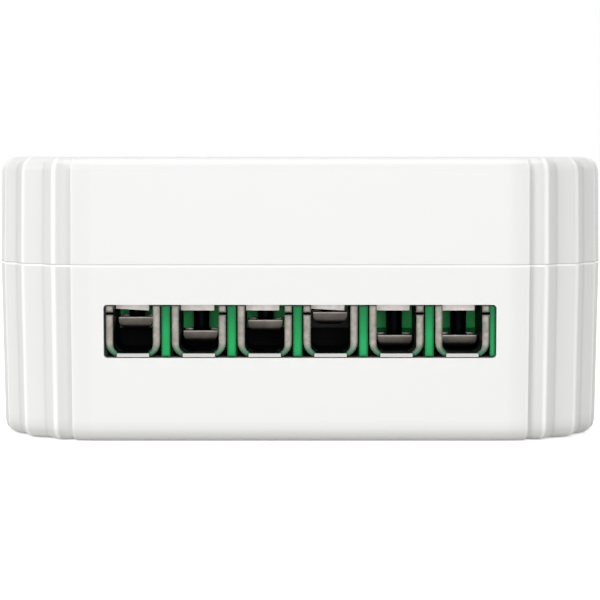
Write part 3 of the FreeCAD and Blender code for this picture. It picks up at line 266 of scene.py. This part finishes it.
def smooth_by_angle():
    """Shades a mesh smoothly, but keeps its sharp edges and the bottoms of its grooves."""
    sharpest_crest, sharpest_groove = math.radians(38.0), math.radians(-20.0)
    group = bpy.data.node_groups.new("smooth_by_angle", "GeometryNodeTree")
    group.interface.new_socket("Geometry", in_out="INPUT", socket_type="NodeSocketGeometry")
    group.interface.new_socket("Geometry", in_out="OUTPUT", socket_type="NodeSocketGeometry")
    given = group.nodes.new("NodeGroupInput")
    result = group.nodes.new("NodeGroupOutput")
    plain = node(group, "GeometryNodeRemoveAttribute")
    plain.inputs["Name"].default_value = "custom_normal"
    faces = node(group, "GeometryNodeSetShadeSmooth", domain="FACE")
    fold = node(group, "GeometryNodeInputMeshEdgeAngle")
    crest = node(group, "FunctionNodeCompare", data_type="FLOAT", operation="LESS_THAN")
    crest.inputs["B"].default_value = sharpest_crest
    groove = node(group, "FunctionNodeCompare", data_type="FLOAT", operation="GREATER_THAN")
    groove.inputs["B"].default_value = sharpest_groove
    soft = node(group, "FunctionNodeBooleanMath", operation="AND")
    edges = node(group, "GeometryNodeSetShadeSmooth", domain="EDGE")
    group.links.new(given.outputs[0], plain.inputs["Geometry"])
    group.links.new(plain.outputs["Geometry"], faces.inputs["Geometry"])
    group.links.new(fold.outputs["Signed Angle"], crest.inputs["A"])
    group.links.new(fold.outputs["Signed Angle"], groove.inputs["A"])
    group.links.new(crest.outputs["Result"], soft.inputs[0])
    group.links.new(groove.outputs["Result"], soft.inputs[1])
    group.links.new(faces.outputs["Geometry"], edges.inputs["Geometry"])
    group.links.new(soft.outputs["Boolean"], edges.inputs["Shade Smooth"])
    group.links.new(edges.outputs["Geometry"], result.inputs[0])
    return group


smoothing = smooth_by_angle()


def soft_edges(piece, width, segments=2, angle=50):
    """Breaks a piece's edges over an angle, in degrees, by a width, in metres."""
    weld = piece.modifiers.new("welded", "WELD")
    weld.merge_threshold = 0.000001
    flat = piece.modifiers.new("flat_faces", "DECIMATE")
    flat.decimate_type = "DISSOLVE"
    flat.angle_limit = math.radians(0.3)
    if width > 0:
        edge = piece.modifiers.new("broken_edges", "BEVEL")
        edge.width = width
        edge.segments = segments
        edge.limit_method = "ANGLE"
        edge.angle_limit = math.radians(angle)
        edge.use_clamp_overlap = True
    shading = piece.modifiers.new("even_shading", "NODES")
    shading.node_group = smoothing
    broad = piece.modifiers.new("broad_faces_flat", "WEIGHTED_NORMAL")
    broad.weight = 100
    broad.keep_sharp = True


# a bright line of painted highlight runs along the base's rim
base_white = shell_plastic(
    "base_white", light=(0.780, 0.780, 0.768), shaded=(0.60, 0.595, 0.58), roughness=0.42,
    painted_rim_shading=(0.93, 0.93, 0.925), axis=upward, start=0.01198, end=0.01203)
wear(nodes["base_shell"], base_white)
soft_edges(nodes["base_shell"], 0.00007)


# Cover shell: the upper half, moulded in the same material; the base's white is set a shade lighter
# than the cover's as painted light.
# Its roof has the six screwdriver holes, the button's hole and the light pipe's.
# a grey line of painted shade runs along the cover's lower rim
cover_white = shell_plastic(
    "cover_white", light=(0.775, 0.775, 0.77), shaded=(0.60, 0.595, 0.58), roughness=0.40,
    painted_rim_shading=(0.56, 0.56, 0.55), axis=downward, start=-0.01223, end=-0.01219)
wear(nodes["cover_shell"], cover_white)
soft_edges(nodes["cover_shell"], 0.00007, angle=55)


# Push button: a moulded white key that stands just below the roof, kept in by its flange.
# Its stem rests on the grey plunger of a tact switch, which is soldered to the board.
def moulded_plastic(name, light, dark, roughness, grain=9000.0, flow=90.0):
    """A moulding with its eroded grain and the slow shading of the melt's flow."""
    material, tree, shader = finish(name, roughness)
    skin = placed(tree, moulded_grain, Grain=grain, Flow=flow)
    blend_colours(tree, skin.outputs["Tone"], dark, light, shader.inputs["Base Color"])
    bump(tree, shader, skin.outputs["Height"], 0.5, 0.000004)
    return material


button_white = moulded_plastic("button_white", (0.92, 0.92, 0.91), (0.89, 0.89, 0.88), 0.32)
wear(nodes["button_cap"], button_white)
soft_edges(nodes["button_cap"], 0.00015, segments=3)
plunger_grey = moulded_plastic("plunger_grey", (0.74, 0.74, 0.71), (0.68, 0.68, 0.66), 0.45)
wear(nodes["switch_plunger"], plunger_grey)


# Light pipe: a clear polycarbonate rod with polished ends, which stands over the status LED
# and brings its light up through a hole in the roof.
pipe_clear, tree, shader = finish("pipe_clear", 0.08)
shader.inputs["Base Color"].default_value = (0.96, 0.98, 0.98, 1.0)
shader.inputs["Transmission Weight"].default_value = 0.45
shader.inputs["IOR"].default_value = 1.585
drawn = placed(tree, moulded_grain, Grain=2500.0)
bump(tree, shader, drawn.outputs["Height"], 0.2, 0.000002)
wear(nodes["light_pipe"], pipe_clear)
soft_edges(nodes["light_pipe"], 0.00006)


# Terminal block: a green moulding with a bay for each cage and a well over each screw.
# Thin ribs stand between the wire entries, and the case halves hold it in its place.
def rounded_shade(tree, source, shade, reach, target):
    """Paints shade along the small rounded edges of a piece that stands in a recess."""
    rounded = node(tree, "ShaderNodeBevel", samples=4)
    rounded.inputs["Radius"].default_value = 0.00024
    turned = node(tree, "ShaderNodeLayerWeight")
    turned.inputs["Blend"].default_value = 0.5
    tree.links.new(rounded.outputs["Normal"], turned.inputs["Normal"])
    edge = node(tree, "ShaderNodeMapRange", interpolation_type="SMOOTHSTEP")
    edge.inputs["From Min"].default_value = 0.0
    edge.inputs["From Max"].default_value = reach
    tree.links.new(turned.outputs["Facing"], edge.inputs["Value"])
    return tint(tree, source, edge.outputs["Result"], shade, target)


def bays_group():
    """A mask that is 1 in the bays within half a span of a middle, across the block."""
    group, given, result = texture_group(
        "bays",
        [("Middle", "NodeSocketFloat", 0.0), ("Half", "NodeSocketFloat", 0.002)],
        [("Mask", "NodeSocketFloat")])
    place = node(group, "ShaderNodeTexCoord")
    split = node(group, "ShaderNodeSeparateXYZ")
    within = node(group, "ShaderNodeMath", operation="COMPARE")
    group.links.new(place.outputs["Object"], split.inputs["Vector"])
    group.links.new(split.outputs["X"], within.inputs[0])
    group.links.new(given.outputs["Middle"], within.inputs[1])
    group.links.new(given.outputs["Half"], within.inputs[2])
    group.links.new(within.outputs["Value"], result.inputs["Mask"])
    return group


bays = bays_group()


def fade_in_bays(tree, source, colour, span, axis, start, end, target):
    """Fades only in the bays of the span, which is (middle, half) across the block."""
    height = placed(tree, along, Axis=axis, From=start, To=end)
    bay = placed(tree, bays, Middle=span[0], Half=span[1])
    both = node(tree, "ShaderNodeMath", operation="MULTIPLY")
    tree.links.new(height.outputs["Mask"], both.inputs[0])
    tree.links.new(bay.outputs["Mask"], both.inputs[1])
    return tint(tree, source, both.outputs["Value"], colour, target)


def block_green():
    """Glossy green moulding, with painted shade on its rounded edges and high in the bays, and
    painted light deep in the bays.
    """
    material, tree, shader = finish("terminal_green", 0.4)
    shader.inputs["Specular IOR Level"].default_value = 0.15
    skin = placed(tree, moulded_grain, Grain=7000.0, Flow=500.0)
    colour = shader.inputs["Base Color"]
    bump(tree, shader, skin.outputs["Height"], 0.5, 0.000004)
    green = blend_colours(
        tree, skin.outputs["Tone"], (0.004, 0.27, 0.065), (0.010, 0.47, 0.13), colour)
    # painted shade high in the bays, and painted light deep in them
    high = fade(tree, green, (0.003, 0.17, 0.05), upward, 0.0066, 0.0100, colour)
    lit_deep = fade(tree, high, (0.05, 0.85, 0.22), inward, -0.0165, -0.0155, colour)
    # painted shade on the rounded edges of the ribs
    rounded = rounded_shade(tree, lit_deep, (0.001, 0.045, 0.015), 0.05, colour)
    # the fourth foot stands so high that the wall below it is in its shadow, painted on here
    fourth_bay = (0.00209, 0.00165)
    fade_in_bays(tree, rounded, (0.0, 0.01, 0.004), fourth_bay, downward, -0.0088, -0.0082, colour)
    return material


wear(nodes["terminal_body"], block_green())
soft_edges(nodes["terminal_body"], 0.0)


# Cages and wire stops: each is folded from one zinc plated strip, with the grain of the rolled
# sheet along the fold. The end of the floor is turned up behind the foot to stop the wire.
def rolled_sheet_group():
    """Rolling marks and plating haze of sheet metal, as a height and a tone."""
    group, given, result = texture_group(
        "rolled_sheet",
        [("Fine", "NodeSocketFloat", 5200.0), ("Haze", "NodeSocketFloat", 600.0)],
        [("Height", "NodeSocketFloat"), ("Tone", "NodeSocketFloat")])
    place = node(group, "ShaderNodeTexCoord")
    drawn_out = node(group, "ShaderNodeMapping")
    drawn_out.inputs["Scale"].default_value = (1.0, 0.12, 1.0)
    fine = node(group, "ShaderNodeTexNoise")
    fine.inputs["Detail"].default_value = 4.0
    haze = node(group, "ShaderNodeTexNoise")
    haze.inputs["Detail"].default_value = 3.0
    group.links.new(place.outputs["Object"], drawn_out.inputs["Vector"])
    group.links.new(drawn_out.outputs["Vector"], fine.inputs["Vector"])
    group.links.new(place.outputs["Object"], haze.inputs["Vector"])
    group.links.new(given.outputs["Fine"], fine.inputs["Scale"])
    group.links.new(given.outputs["Haze"], haze.inputs["Scale"])
    group.links.new(fine.outputs["Fac"], result.inputs["Height"])
    group.links.new(haze.outputs["Fac"], result.inputs["Tone"])
    return group


rolled_sheet = rolled_sheet_group()


def sheet_metal(name, light, dark, roughness, depth=0.000003, strength=0.5, **scales):
    """Rolled and plated sheet. It gives the material, its tree, the colour and its socket."""
    material, tree, shader = finish(name, roughness, 1.0)
    sheet = placed(tree, rolled_sheet, **scales)
    socket = shader.inputs["Base Color"]
    colour = blend_colours(tree, sheet.outputs["Tone"], dark, light, socket)
    bump(tree, shader, sheet.outputs["Height"], strength, depth)
    return material, tree, colour, socket


def plated_metal(name, light, dark, roughness, **scales):
    """The same metal, for a piece that shows it all over."""
    return sheet_metal(name, light, dark, roughness, **scales)[0]


def cage_metal():
    """Dull zinc, bright on the pressed lip and grey on the cut front edge, with painted shade inside
    the entry and on its rounded edges.
    """
    material, tree, edge, socket = sheet_metal(
        "cage_zinc", (0.36, 0.335, 0.30), (0.09, 0.085, 0.074), 0.5,
        depth=0.000004, strength=0.6, Haze=2600.0)
    # painted shade inside the entry, from just behind the cut front edge
    shaded_inside = fade(tree, edge, (0.008, 0.010, 0.010), inward, -0.02094, -0.02070, socket)
    # painted green light from the block on the floor
    low = fade(tree, shaded_inside, (0.06, 0.15, 0.09), downward, -0.00680, -0.00615, socket)
    # painted shade along the rounded edges
    edge_shade = rounded_shade(tree, low, (0.012, 0.020, 0.015), 0.14, socket)
    fade(tree, edge_shade, (0.37, 0.37, 0.365), outward, 0.02104, 0.02110, socket)
    return material


def stop_metal():
    """Zinc painted near black as shade under the feet, with painted green light from the last two
    bays on its upper edge.
    """
    material, tree, dark, socket = sheet_metal(
        "stop_dark", (0.012, 0.012, 0.012), (0.006, 0.006, 0.006), 0.7)
    last_bays = (0.00884, 0.0040)
    fade_in_bays(tree, dark, (0.008, 0.22, 0.05), last_bays, upward, 0.00675, 0.00705, socket)
    return material


wear(nodes["terminal_cages"], cage_metal())
soft_edges(nodes["terminal_cages"], 0.0)
# the wire stops are near black as painted shade under the feet
wear(nodes["wire_stops"], stop_metal())


# Clamp nuts: pressed and tapped steel blocks, zinc plated, that sit in the tops of the cages.
# The bright front lip of each closes the top of its wire entry.
nut_zinc = plated_metal("nut_zinc", (0.66, 0.63, 0.60), (0.34, 0.315, 0.30), 0.5, Haze=2400.0)
wear(nodes["clamp_nuts"], nut_zinc)
soft_edges(nodes["clamp_nuts"], 0.00008)


# Clamp screws: M2 cheese heads with rolled threads, plated, with painted shade on the point.
# Each turns down through its nut and pushes its foot, so it rides on a body of its own.
def lathe(name, rings, sides, thread=(0.0, 0.0, 0.0, 0.0), hollow=False):
    """A turned mesh from (radius, height) rings, closed by end faces or back on itself if hollow.

    The thread is (pitch, depth, low, high).
    """
    pitch, depth, low, high = thread
    mesh = bpy.data.meshes.new(name)
    body = bmesh.new()
    rows = []
    for radius, height in rings:
        row = []
        for step in range(sides):
            angle = 2 * math.pi * step / sides
            reach = radius
            if low < height < high:
                turn = height / pitch - step / sides
                reach -= depth * abs(2 * (turn - math.floor(turn)) - 1)
            row.append(body.verts.new((reach * math.cos(angle), reach * math.sin(angle), height)))
        rows.append(row)
    following = rows[1:] + rows[:1] if hollow else rows[1:]
    for lower, upper in zip(rows, following):
        for step in range(sides):
            after = (step + 1) % sides
            body.faces.new((lower[step], lower[after], upper[after], upper[step]))
    if not hollow:
        body.faces.new(list(reversed(rows[0])))
        body.faces.new(rows[-1])
    for face in body.faces:
        face.smooth = True
    body.to_mesh(mesh)
    body.free()
    piece = bpy.data.objects.new(name, mesh)
    bpy.context.collection.objects.link(piece)
    return piece


def carve(piece, size, place):
    """Takes a box of that size out of a mesh that still stands at the origin."""
    block = bpy.data.meshes.new("cutter")
    form = bmesh.new()
    bmesh.ops.create_cube(form, size=1.0)
    bmesh.ops.scale(form, vec=size, verts=form.verts)
    bmesh.ops.translate(form, vec=place, verts=form.verts)
    form.to_mesh(block)
    form.free()
    cutter = bpy.data.objects.new("cutter", block)
    bpy.context.collection.objects.link(cutter)
    taken = piece.modifiers.new("carved", "BOOLEAN")
    taken.operation = "DIFFERENCE"
    taken.solver = "EXACT"
    taken.object = cutter
    bpy.context.view_layer.update()
    seen_piece = piece.evaluated_get(bpy.context.evaluated_depsgraph_get())
    carved = bpy.data.meshes.new_from_object(seen_piece)
    piece.modifiers.clear()
    piece.data = carved
    bpy.data.objects.remove(cutter)


def slotted_screw():
    """A screw that stands in its foot: neck, long dog point, thread and slotted head."""
    thread_radius, thread_low, thread_high, thread_rings = 0.00100, 0.00326, 0.00640, 64
    pitch, thread_depth = 0.0004, 0.00022
    rings = [(0.00036, 0.00004), (0.00040, 0.00008), (0.00040, 0.00037), (0.00053, 0.00038),
             (0.00055, 0.00042), (0.00055, 0.00312), (0.00078, 0.00324)]
    for step in range(thread_rings + 1):
        rings.append((thread_radius, thread_low + (thread_high - thread_low) * step / thread_rings))
    rings += [(0.00100, 0.00644), (0.00184, 0.00649), (0.00190, 0.00655), (0.00190, 0.00750),
              (0.00187, 0.00760), (0.00178, 0.00767), (0.00160, 0.00768)]
    screw = lathe("slotted_screw", rings, 40, (pitch, thread_depth, 0.00327, 0.00639))
    slot_size, slot_middle = (0.0050, 0.0005, 0.0008), 0.00748
    carve(screw, slot_size, (0.0, 0.0, slot_middle))
    return screw


def screw_metal():
    """Plated steel, bright on the head, with painted shade darkening it towards the point."""
    material, tree, plated, socket = sheet_metal(
        "screw_steel", (0.72, 0.72, 0.70), (0.50, 0.50, 0.49), 0.34, Fine=3000.0)
    # painted shade, darkening the screw towards its point
    fade(tree, plated, (0.022, 0.024, 0.030), downward, -0.0062, -0.0040, socket)
    return material


screw_mesh = slotted_screw()
screw_steel = screw_metal()
first_terminal, terminal_pitch, screw_row = -0.01141, 0.0045, -0.01725
# the underside of each foot as delivered, from the left
foot_heights = (0.00756, 0.00661, 0.00735, 0.00790, 0.00629, 0.00630)
for terminal, foot_height in enumerate(foot_heights, start=1):
    screw = bpy.data.objects.new(f"threaded_screw_{terminal}", screw_mesh.data.copy())
    bpy.context.collection.objects.link(screw)
    screw.location = (first_terminal + terminal_pitch * (terminal - 1), screw_row, foot_height)
    screw.rotation_euler = (0.0, 0.0, math.radians(25 + 40 * terminal))
    wear(screw, screw_steel)
    wear(nodes[f"clamp_screw_{terminal}"], screw_steel)
    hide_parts(f"clamp_screw_{terminal}")
    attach(screw, f"screw_{terminal}")
bpy.data.objects.remove(screw_mesh)


# Pressure feet: channels of plain sheet steel with two upturned lips and a slot at the back,
# by which each hangs on the neck of its screw. They slide up and down and don't turn.
def foot_metal():
    """Dull sheet with a painted highlight on the upper edge of its lip and painted shade towards its
    bend.
    """
    material, tree, dull, socket = sheet_metal(
        "foot_steel", (0.17, 0.162, 0.15), (0.07, 0.066, 0.062), 0.45, Haze=1800.0)
    place = node(tree, "ShaderNodeTexCoord")
    split = node(tree, "ShaderNodeSeparateXYZ")
    tree.links.new(place.outputs["Generated"], split.inputs["Vector"])
    # painted light: a highlight on the lip's upper edge, and shade towards the bend
    painted_rise = node(tree, "ShaderNodeValToRGB")
    bend_shade, lip_highlight = painted_rise.color_ramp.elements
    bend_shade.position = 0.0
    bend_shade.color = (0.30, 0.27, 0.25, 1.0)
    lip_highlight.position = 0.97
    lip_highlight.color = (2.6, 2.6, 2.5, 1.0)
    brow = painted_rise.color_ramp.elements.new(0.86)
    brow.color = (0.80, 0.76, 0.73, 1.0)
    middle = painted_rise.color_ramp.elements.new(0.45)
    middle.color = (0.62, 0.57, 0.54, 1.0)
    tree.links.new(split.outputs["Z"], painted_rise.inputs["Fac"])
    multiply_colours(tree, dull, painted_rise.outputs["Color"], socket)
    return material


foot_steel = foot_metal()
for terminal in range(1, 7):
    wear(nodes[f"pressure_foot_{terminal}"], foot_steel)
    soft_edges(nodes[f"pressure_foot_{terminal}"], 0.00003)


# Circuit board and radio board: glass-filled laminate under green solder resist.
# The main board stands on rests in the base, and the radio board is soldered on it.
board_green = moulded_plastic(
    "board_green", (0.012, 0.17, 0.07), (0.010, 0.13, 0.055), 0.3, grain=4000.0, flow=500.0)
for name in ("circuit_board", "radio_board"):
    wear(nodes[name], board_green)


# Relay: a black moulded cover over its plated iron circuit, copper coil and contacts.
# The coil is wound on a bobbin round the core, and the armature rocks on the yoke.
relay_black = moulded_plastic("relay_black", (0.030, 0.030, 0.034), (0.022, 0.022, 0.025), 0.38)
for name in ("relay_case", "relay_base", "relay_bobbin"):
    wear(nodes[name], relay_black)
soft_edges(nodes["relay_case"], 0.0002, segments=3)
iron_plate = plated_metal("iron_plate", (0.60, 0.60, 0.59), (0.50, 0.50, 0.49), 0.35, Haze=900.0)
for name in ("relay_yoke", "relay_core", "relay_armature"):
    wear(nodes[name], iron_plate)
coil_copper = plated_metal(
    "coil_copper", (0.66, 0.30, 0.13), (0.52, 0.22, 0.09), 0.35, Fine=9000.0)
wear(nodes["relay_winding"], coil_copper)
wire_pitch, wire_depth = 0.00016, 0.00007
coil_low, coil_length, coil_rows = 0.00724, 0.0055, 224
coil_rings = [(0.00200, coil_low), (0.00355, coil_low)]
for step in range(1, coil_rows):
    coil_rings.append((0.00358, coil_low + coil_length * step / coil_rows))
coil_rings += [(0.00355, 0.01274), (0.00200, 0.01274)]
coil = lathe(
    "relay_coil_turns", coil_rings, 40, (wire_pitch, wire_depth, 0.00725, 0.01273), hollow=True)
coil_x, coil_y = -0.0125, -0.00777
coil.location = (coil_x, coil_y, 0.0)
wear(coil, coil_copper)
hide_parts("relay_winding")
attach(coil, "module")
contact_brass = plated_metal("contact_brass", (0.78, 0.66, 0.38), (0.68, 0.56, 0.30), 0.3)
for name in ("relay_moving_contact", "relay_fixed_contact", "relay_coil_pins", "transformer_pins"):
    wear(nodes[name], contact_brass)


# Mains transformer: a sintered ferrite core round a moulded bobbin, with its winding under
# yellow tape. Its eight pins are soldered in the board.
ferrite = moulded_plastic("ferrite", (0.075, 0.075, 0.078), (0.055, 0.055, 0.058), 0.55)
wear(nodes["transformer_core"], ferrite)
wear(nodes["transformer_bobbin"], relay_black)
tape_yellow = moulded_plastic("tape_yellow", (0.72, 0.52, 0.08), (0.62, 0.44, 0.06), 0.3, flow=400.0)
wear(nodes["transformer_winding"], tape_yellow)


# Electrolytic cans: drawn aluminium with a rubber seal rolled in at the bottom and a black
# sleeve shrunk over the shoulder. The bare top is scored, and each stands on two tinned leads.
def can_metal():
    """Black sleeve on the side and the shoulder, bare aluminium in the middle of the top."""
    material, tree, shader = finish("can_sleeve", 0.25)
    skin = placed(tree, rolled_sheet)
    socket = shader.inputs["Base Color"]
    sleeve = blend_colours(
        tree, skin.outputs["Tone"], (0.014, 0.016, 0.024), (0.022, 0.026, 0.036), socket)
    bump(tree, shader, skin.outputs["Height"], 0.3, 0.000004)
    place = node(tree, "ShaderNodeTexCoord")
    from_top = node(tree, "ShaderNodeVectorMath", operation="SUBTRACT")
    from_top.inputs[1].default_value = (0.5, 0.5, 1.0)
    tree.links.new(place.outputs["Generated"], from_top.inputs[0])
    reach = node(tree, "ShaderNodeVectorMath", operation="LENGTH")
    tree.links.new(from_top.outputs["Vector"], reach.inputs[0])
    top = node(tree, "ShaderNodeMath", operation="LESS_THAN")
    top.inputs[1].default_value = 0.41
    tree.links.new(reach.outputs["Value"], top.inputs[0])
    tint(tree, sleeve, top.outputs["Value"], (0.72, 0.72, 0.72), socket)
    tree.links.new(top.outputs["Value"], shader.inputs["Metallic"])
    return material


def sleeved_can(name, place, radius, height):
    """A can with its rolled groove, rounded shoulder and scored vent, and its two leads."""
    groove, score_width, score_depth = 0.0014, 0.00018, 0.0002
    lead_spread, lead_radius, lead_length = 0.00125, 0.00025, 0.0030
    shoulder, vent = height - 0.00002, height - 0.00014
    rings = [
        (radius * 0.80, 0.0), (radius * 0.96, 0.00008), (radius, 0.0003), (radius, groove - 0.0004),
        (radius * 0.93, groove - 0.0001), (radius * 0.93, groove + 0.0001), (radius, groove + 0.0004),
        (radius, height - 0.0006), (radius * 0.97, height - 0.0002), (radius * 0.90, shoulder),
        (radius * 0.82, shoulder), (radius * 0.80, vent), (radius * 0.3, vent)]
    can = lathe(name, rings, 48)
    carve(can, (radius * 1.2, score_width, score_depth), (0.0, 0.0, vent))
    carve(can, (score_width, radius * 1.2, score_depth), (0.0, 0.0, vent))
    can.location = place
    soft_edges(can, 0.0)
    leads = []
    for number, side in ((1, -1), (2, 1)):
        rings = [(0.00022, -lead_length), (lead_radius, -0.0028), (lead_radius, 0.0)]
        lead = lathe(f"{name}_lead_{number}", rings, 12)
        lead.location = (place[0] + side * lead_spread, place[1], place[2])
        leads.append(lead)
    return can, leads


sleeve_black = moulded_plastic("sleeve_black", (0.020, 0.024, 0.034), (0.014, 0.016, 0.024), 0.22)
for name in ("input_capacitors", "output_capacitor"):
    wear(nodes[name], sleeve_black)
can_sleeve = can_metal()
lead_tin = plated_metal("lead_tin", (0.74, 0.74, 0.72), (0.64, 0.64, 0.62), 0.3)
can_bottom = 0.0050
cans = (
    ("input_can_1", "input_capacitors", (-0.0002, -0.00897, can_bottom), 0.0040, 0.0115),
    ("input_can_2", "input_capacitors", (-0.0002, -0.00047, can_bottom), 0.0040, 0.0115),
    ("output_can", "output_capacitor", (0.0143, 0.00253, can_bottom), 0.00315, 0.0070))
for name, stands_for, place, radius, height in cans:
    can, leads = sleeved_can(name, place, radius, height)
    wear(can, can_sleeve)
    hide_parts(stands_for)
    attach(can, "module")
    for lead in leads:
        wear(lead, lead_tin)
        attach(lead, "module")


# Varistor: a ceramic disc dipped in blue epoxy, which rounds its edges.
# It stands on two leads across the mains input and takes up surges.
coating_blue = moulded_plastic("coating_blue", (0.03, 0.11, 0.40), (0.025, 0.09, 0.33), 0.25)
wear(nodes["varistor"], coating_blue)
soft_edges(nodes["varistor"], 0.0004, segments=4, angle=30)


# Radio: a drawn and tinned shield over the processor and its crystal, soldered round its rim.
# The antenna beside it is a gold plated track on the same small board.
shield_tin = plated_metal("shield_tin", (0.76, 0.76, 0.73), (0.68, 0.68, 0.65), 0.3)
wear(nodes["radio_shield"], shield_tin)
antenna_gold = plated_metal("antenna_gold", (0.82, 0.58, 0.24), (0.74, 0.52, 0.20), 0.3)
wear(nodes["antenna"], antenna_gold)


# Chips, switch and LED: small parts with moulded black bodies, soldered on the two boards.
# The LED has a yellowish lens and stands under the light pipe.
chip_black = moulded_plastic("chip_black", (0.022, 0.022, 0.022), (0.016, 0.016, 0.016), 0.5)
for name in ("radio_chips", "switch_body", "bridge_rectifier", "converter_chip", "chip_resistors"):
    wear(nodes[name], chip_black)
led_lens = moulded_plastic("led_lens", (0.80, 0.74, 0.42), (0.74, 0.68, 0.36), 0.2)
wear(nodes["status_led"], led_lens)


# Floor: a broad pale sheet, a hair below the case, that keeps the object's shadow.
# It glows a little to the camera, so that it shows as white as the room.
def seen_directly(tree):
    """1 on a ray from the camera, also where a shiny or a clear piece sends it on."""
    rays = node(tree, "ShaderNodeLightPath")
    seen = rays.outputs["Is Camera Ray"]
    for kind in ("Is Glossy Ray", "Is Transmission Ray"):
        either = node(tree, "ShaderNodeMath", operation="MAXIMUM")
        tree.links.new(seen, either.inputs[0])
        tree.links.new(rays.outputs[kind], either.inputs[1])
        seen = either.outputs["Value"]
    return seen


bpy.ops.mesh.primitive_plane_add(size=2.0, location=(0.0, 0.0, -0.00002))
floor = bpy.context.object
floor.name = "floor"
floor_white, tree, shader = finish("floor_white", 0.8)
shader.inputs["Base Color"].default_value = (0.9, 0.9, 0.9, 1.0)
shader.inputs["Emission Color"].default_value = (1.0, 1.0, 1.0, 1.0)
glow = node(tree, "ShaderNodeMath", operation="MULTIPLY")
glow.inputs[1].default_value = 0.6
tree.links.new(seen_directly(tree), glow.inputs[0])
tree.links.new(glow.outputs["Value"], shader.inputs["Emission Strength"])
wear(floor, floor_white)


# Light: a white room, dimmer as a light than it shows to the camera, and three broad soft
# lamps. Places and sizes are in metres, power in watts, and all aim at the middle of the case.
world = bpy.data.worlds.new("white_room")
bpy.context.scene.world = world
world.use_nodes = True
tree = world.node_tree
background = tree.nodes["Background"]
background.inputs["Color"].default_value = (1.0, 1.0, 1.0, 1.0)
strength = node(tree, "ShaderNodeMapRange")
strength.inputs["To Min"].default_value = 0.30
strength.inputs["To Max"].default_value = 1.0
tree.links.new(seen_directly(tree), strength.inputs["Value"])
tree.links.new(strength.outputs["Result"], background.inputs["Strength"])
case_middle = (0.0, 0.0, 0.01)
lamps = (
    ("front_left", (-0.42, -0.50, 0.28), 0.30, 1.42),
    ("front", (0.05, -0.70, 0.10), 0.35, 1.52),
    ("above", (0.0, -0.05, 0.60), 0.40, 2.0))
for name, place, size, power in lamps:
    data = bpy.data.lights.new(name, "AREA")
    data.shape = "SQUARE"
    data.size = size
    data.energy = power
    lamp = bpy.data.objects.new(name, data)
    lamp.location = place
    direction = [a - p for a, p in zip(case_middle, place)]
    flat = math.hypot(direction[0], direction[1])
    lamp.rotation_euler = (
        math.pi / 2 + math.atan2(direction[2], flat), 0.0, math.atan2(-direction[0], direction[1]))
    bpy.context.collection.objects.link(lamp)


# Camera: level with the top face and a little under 0.14 m in front of the case, tilted down
# by 4 degrees. Its lens and its place are those that the photograph was fitted with.
camera_data = bpy.data.cameras.new("camera")
camera_data.sensor_width = 36.0
camera_data.lens = 121.9
camera_data.clip_start = 0.01
camera = bpy.data.objects.new("camera", camera_data)
camera.location = (0.0, -0.1593, 0.0195)
camera.rotation_euler = (math.radians(90.0 - 4.03), 0.0, 0.0)
bpy.context.collection.objects.link(camera)
bpy.context.scene.camera = camera
bpy.context.scene.view_settings.view_transform = "Standard"
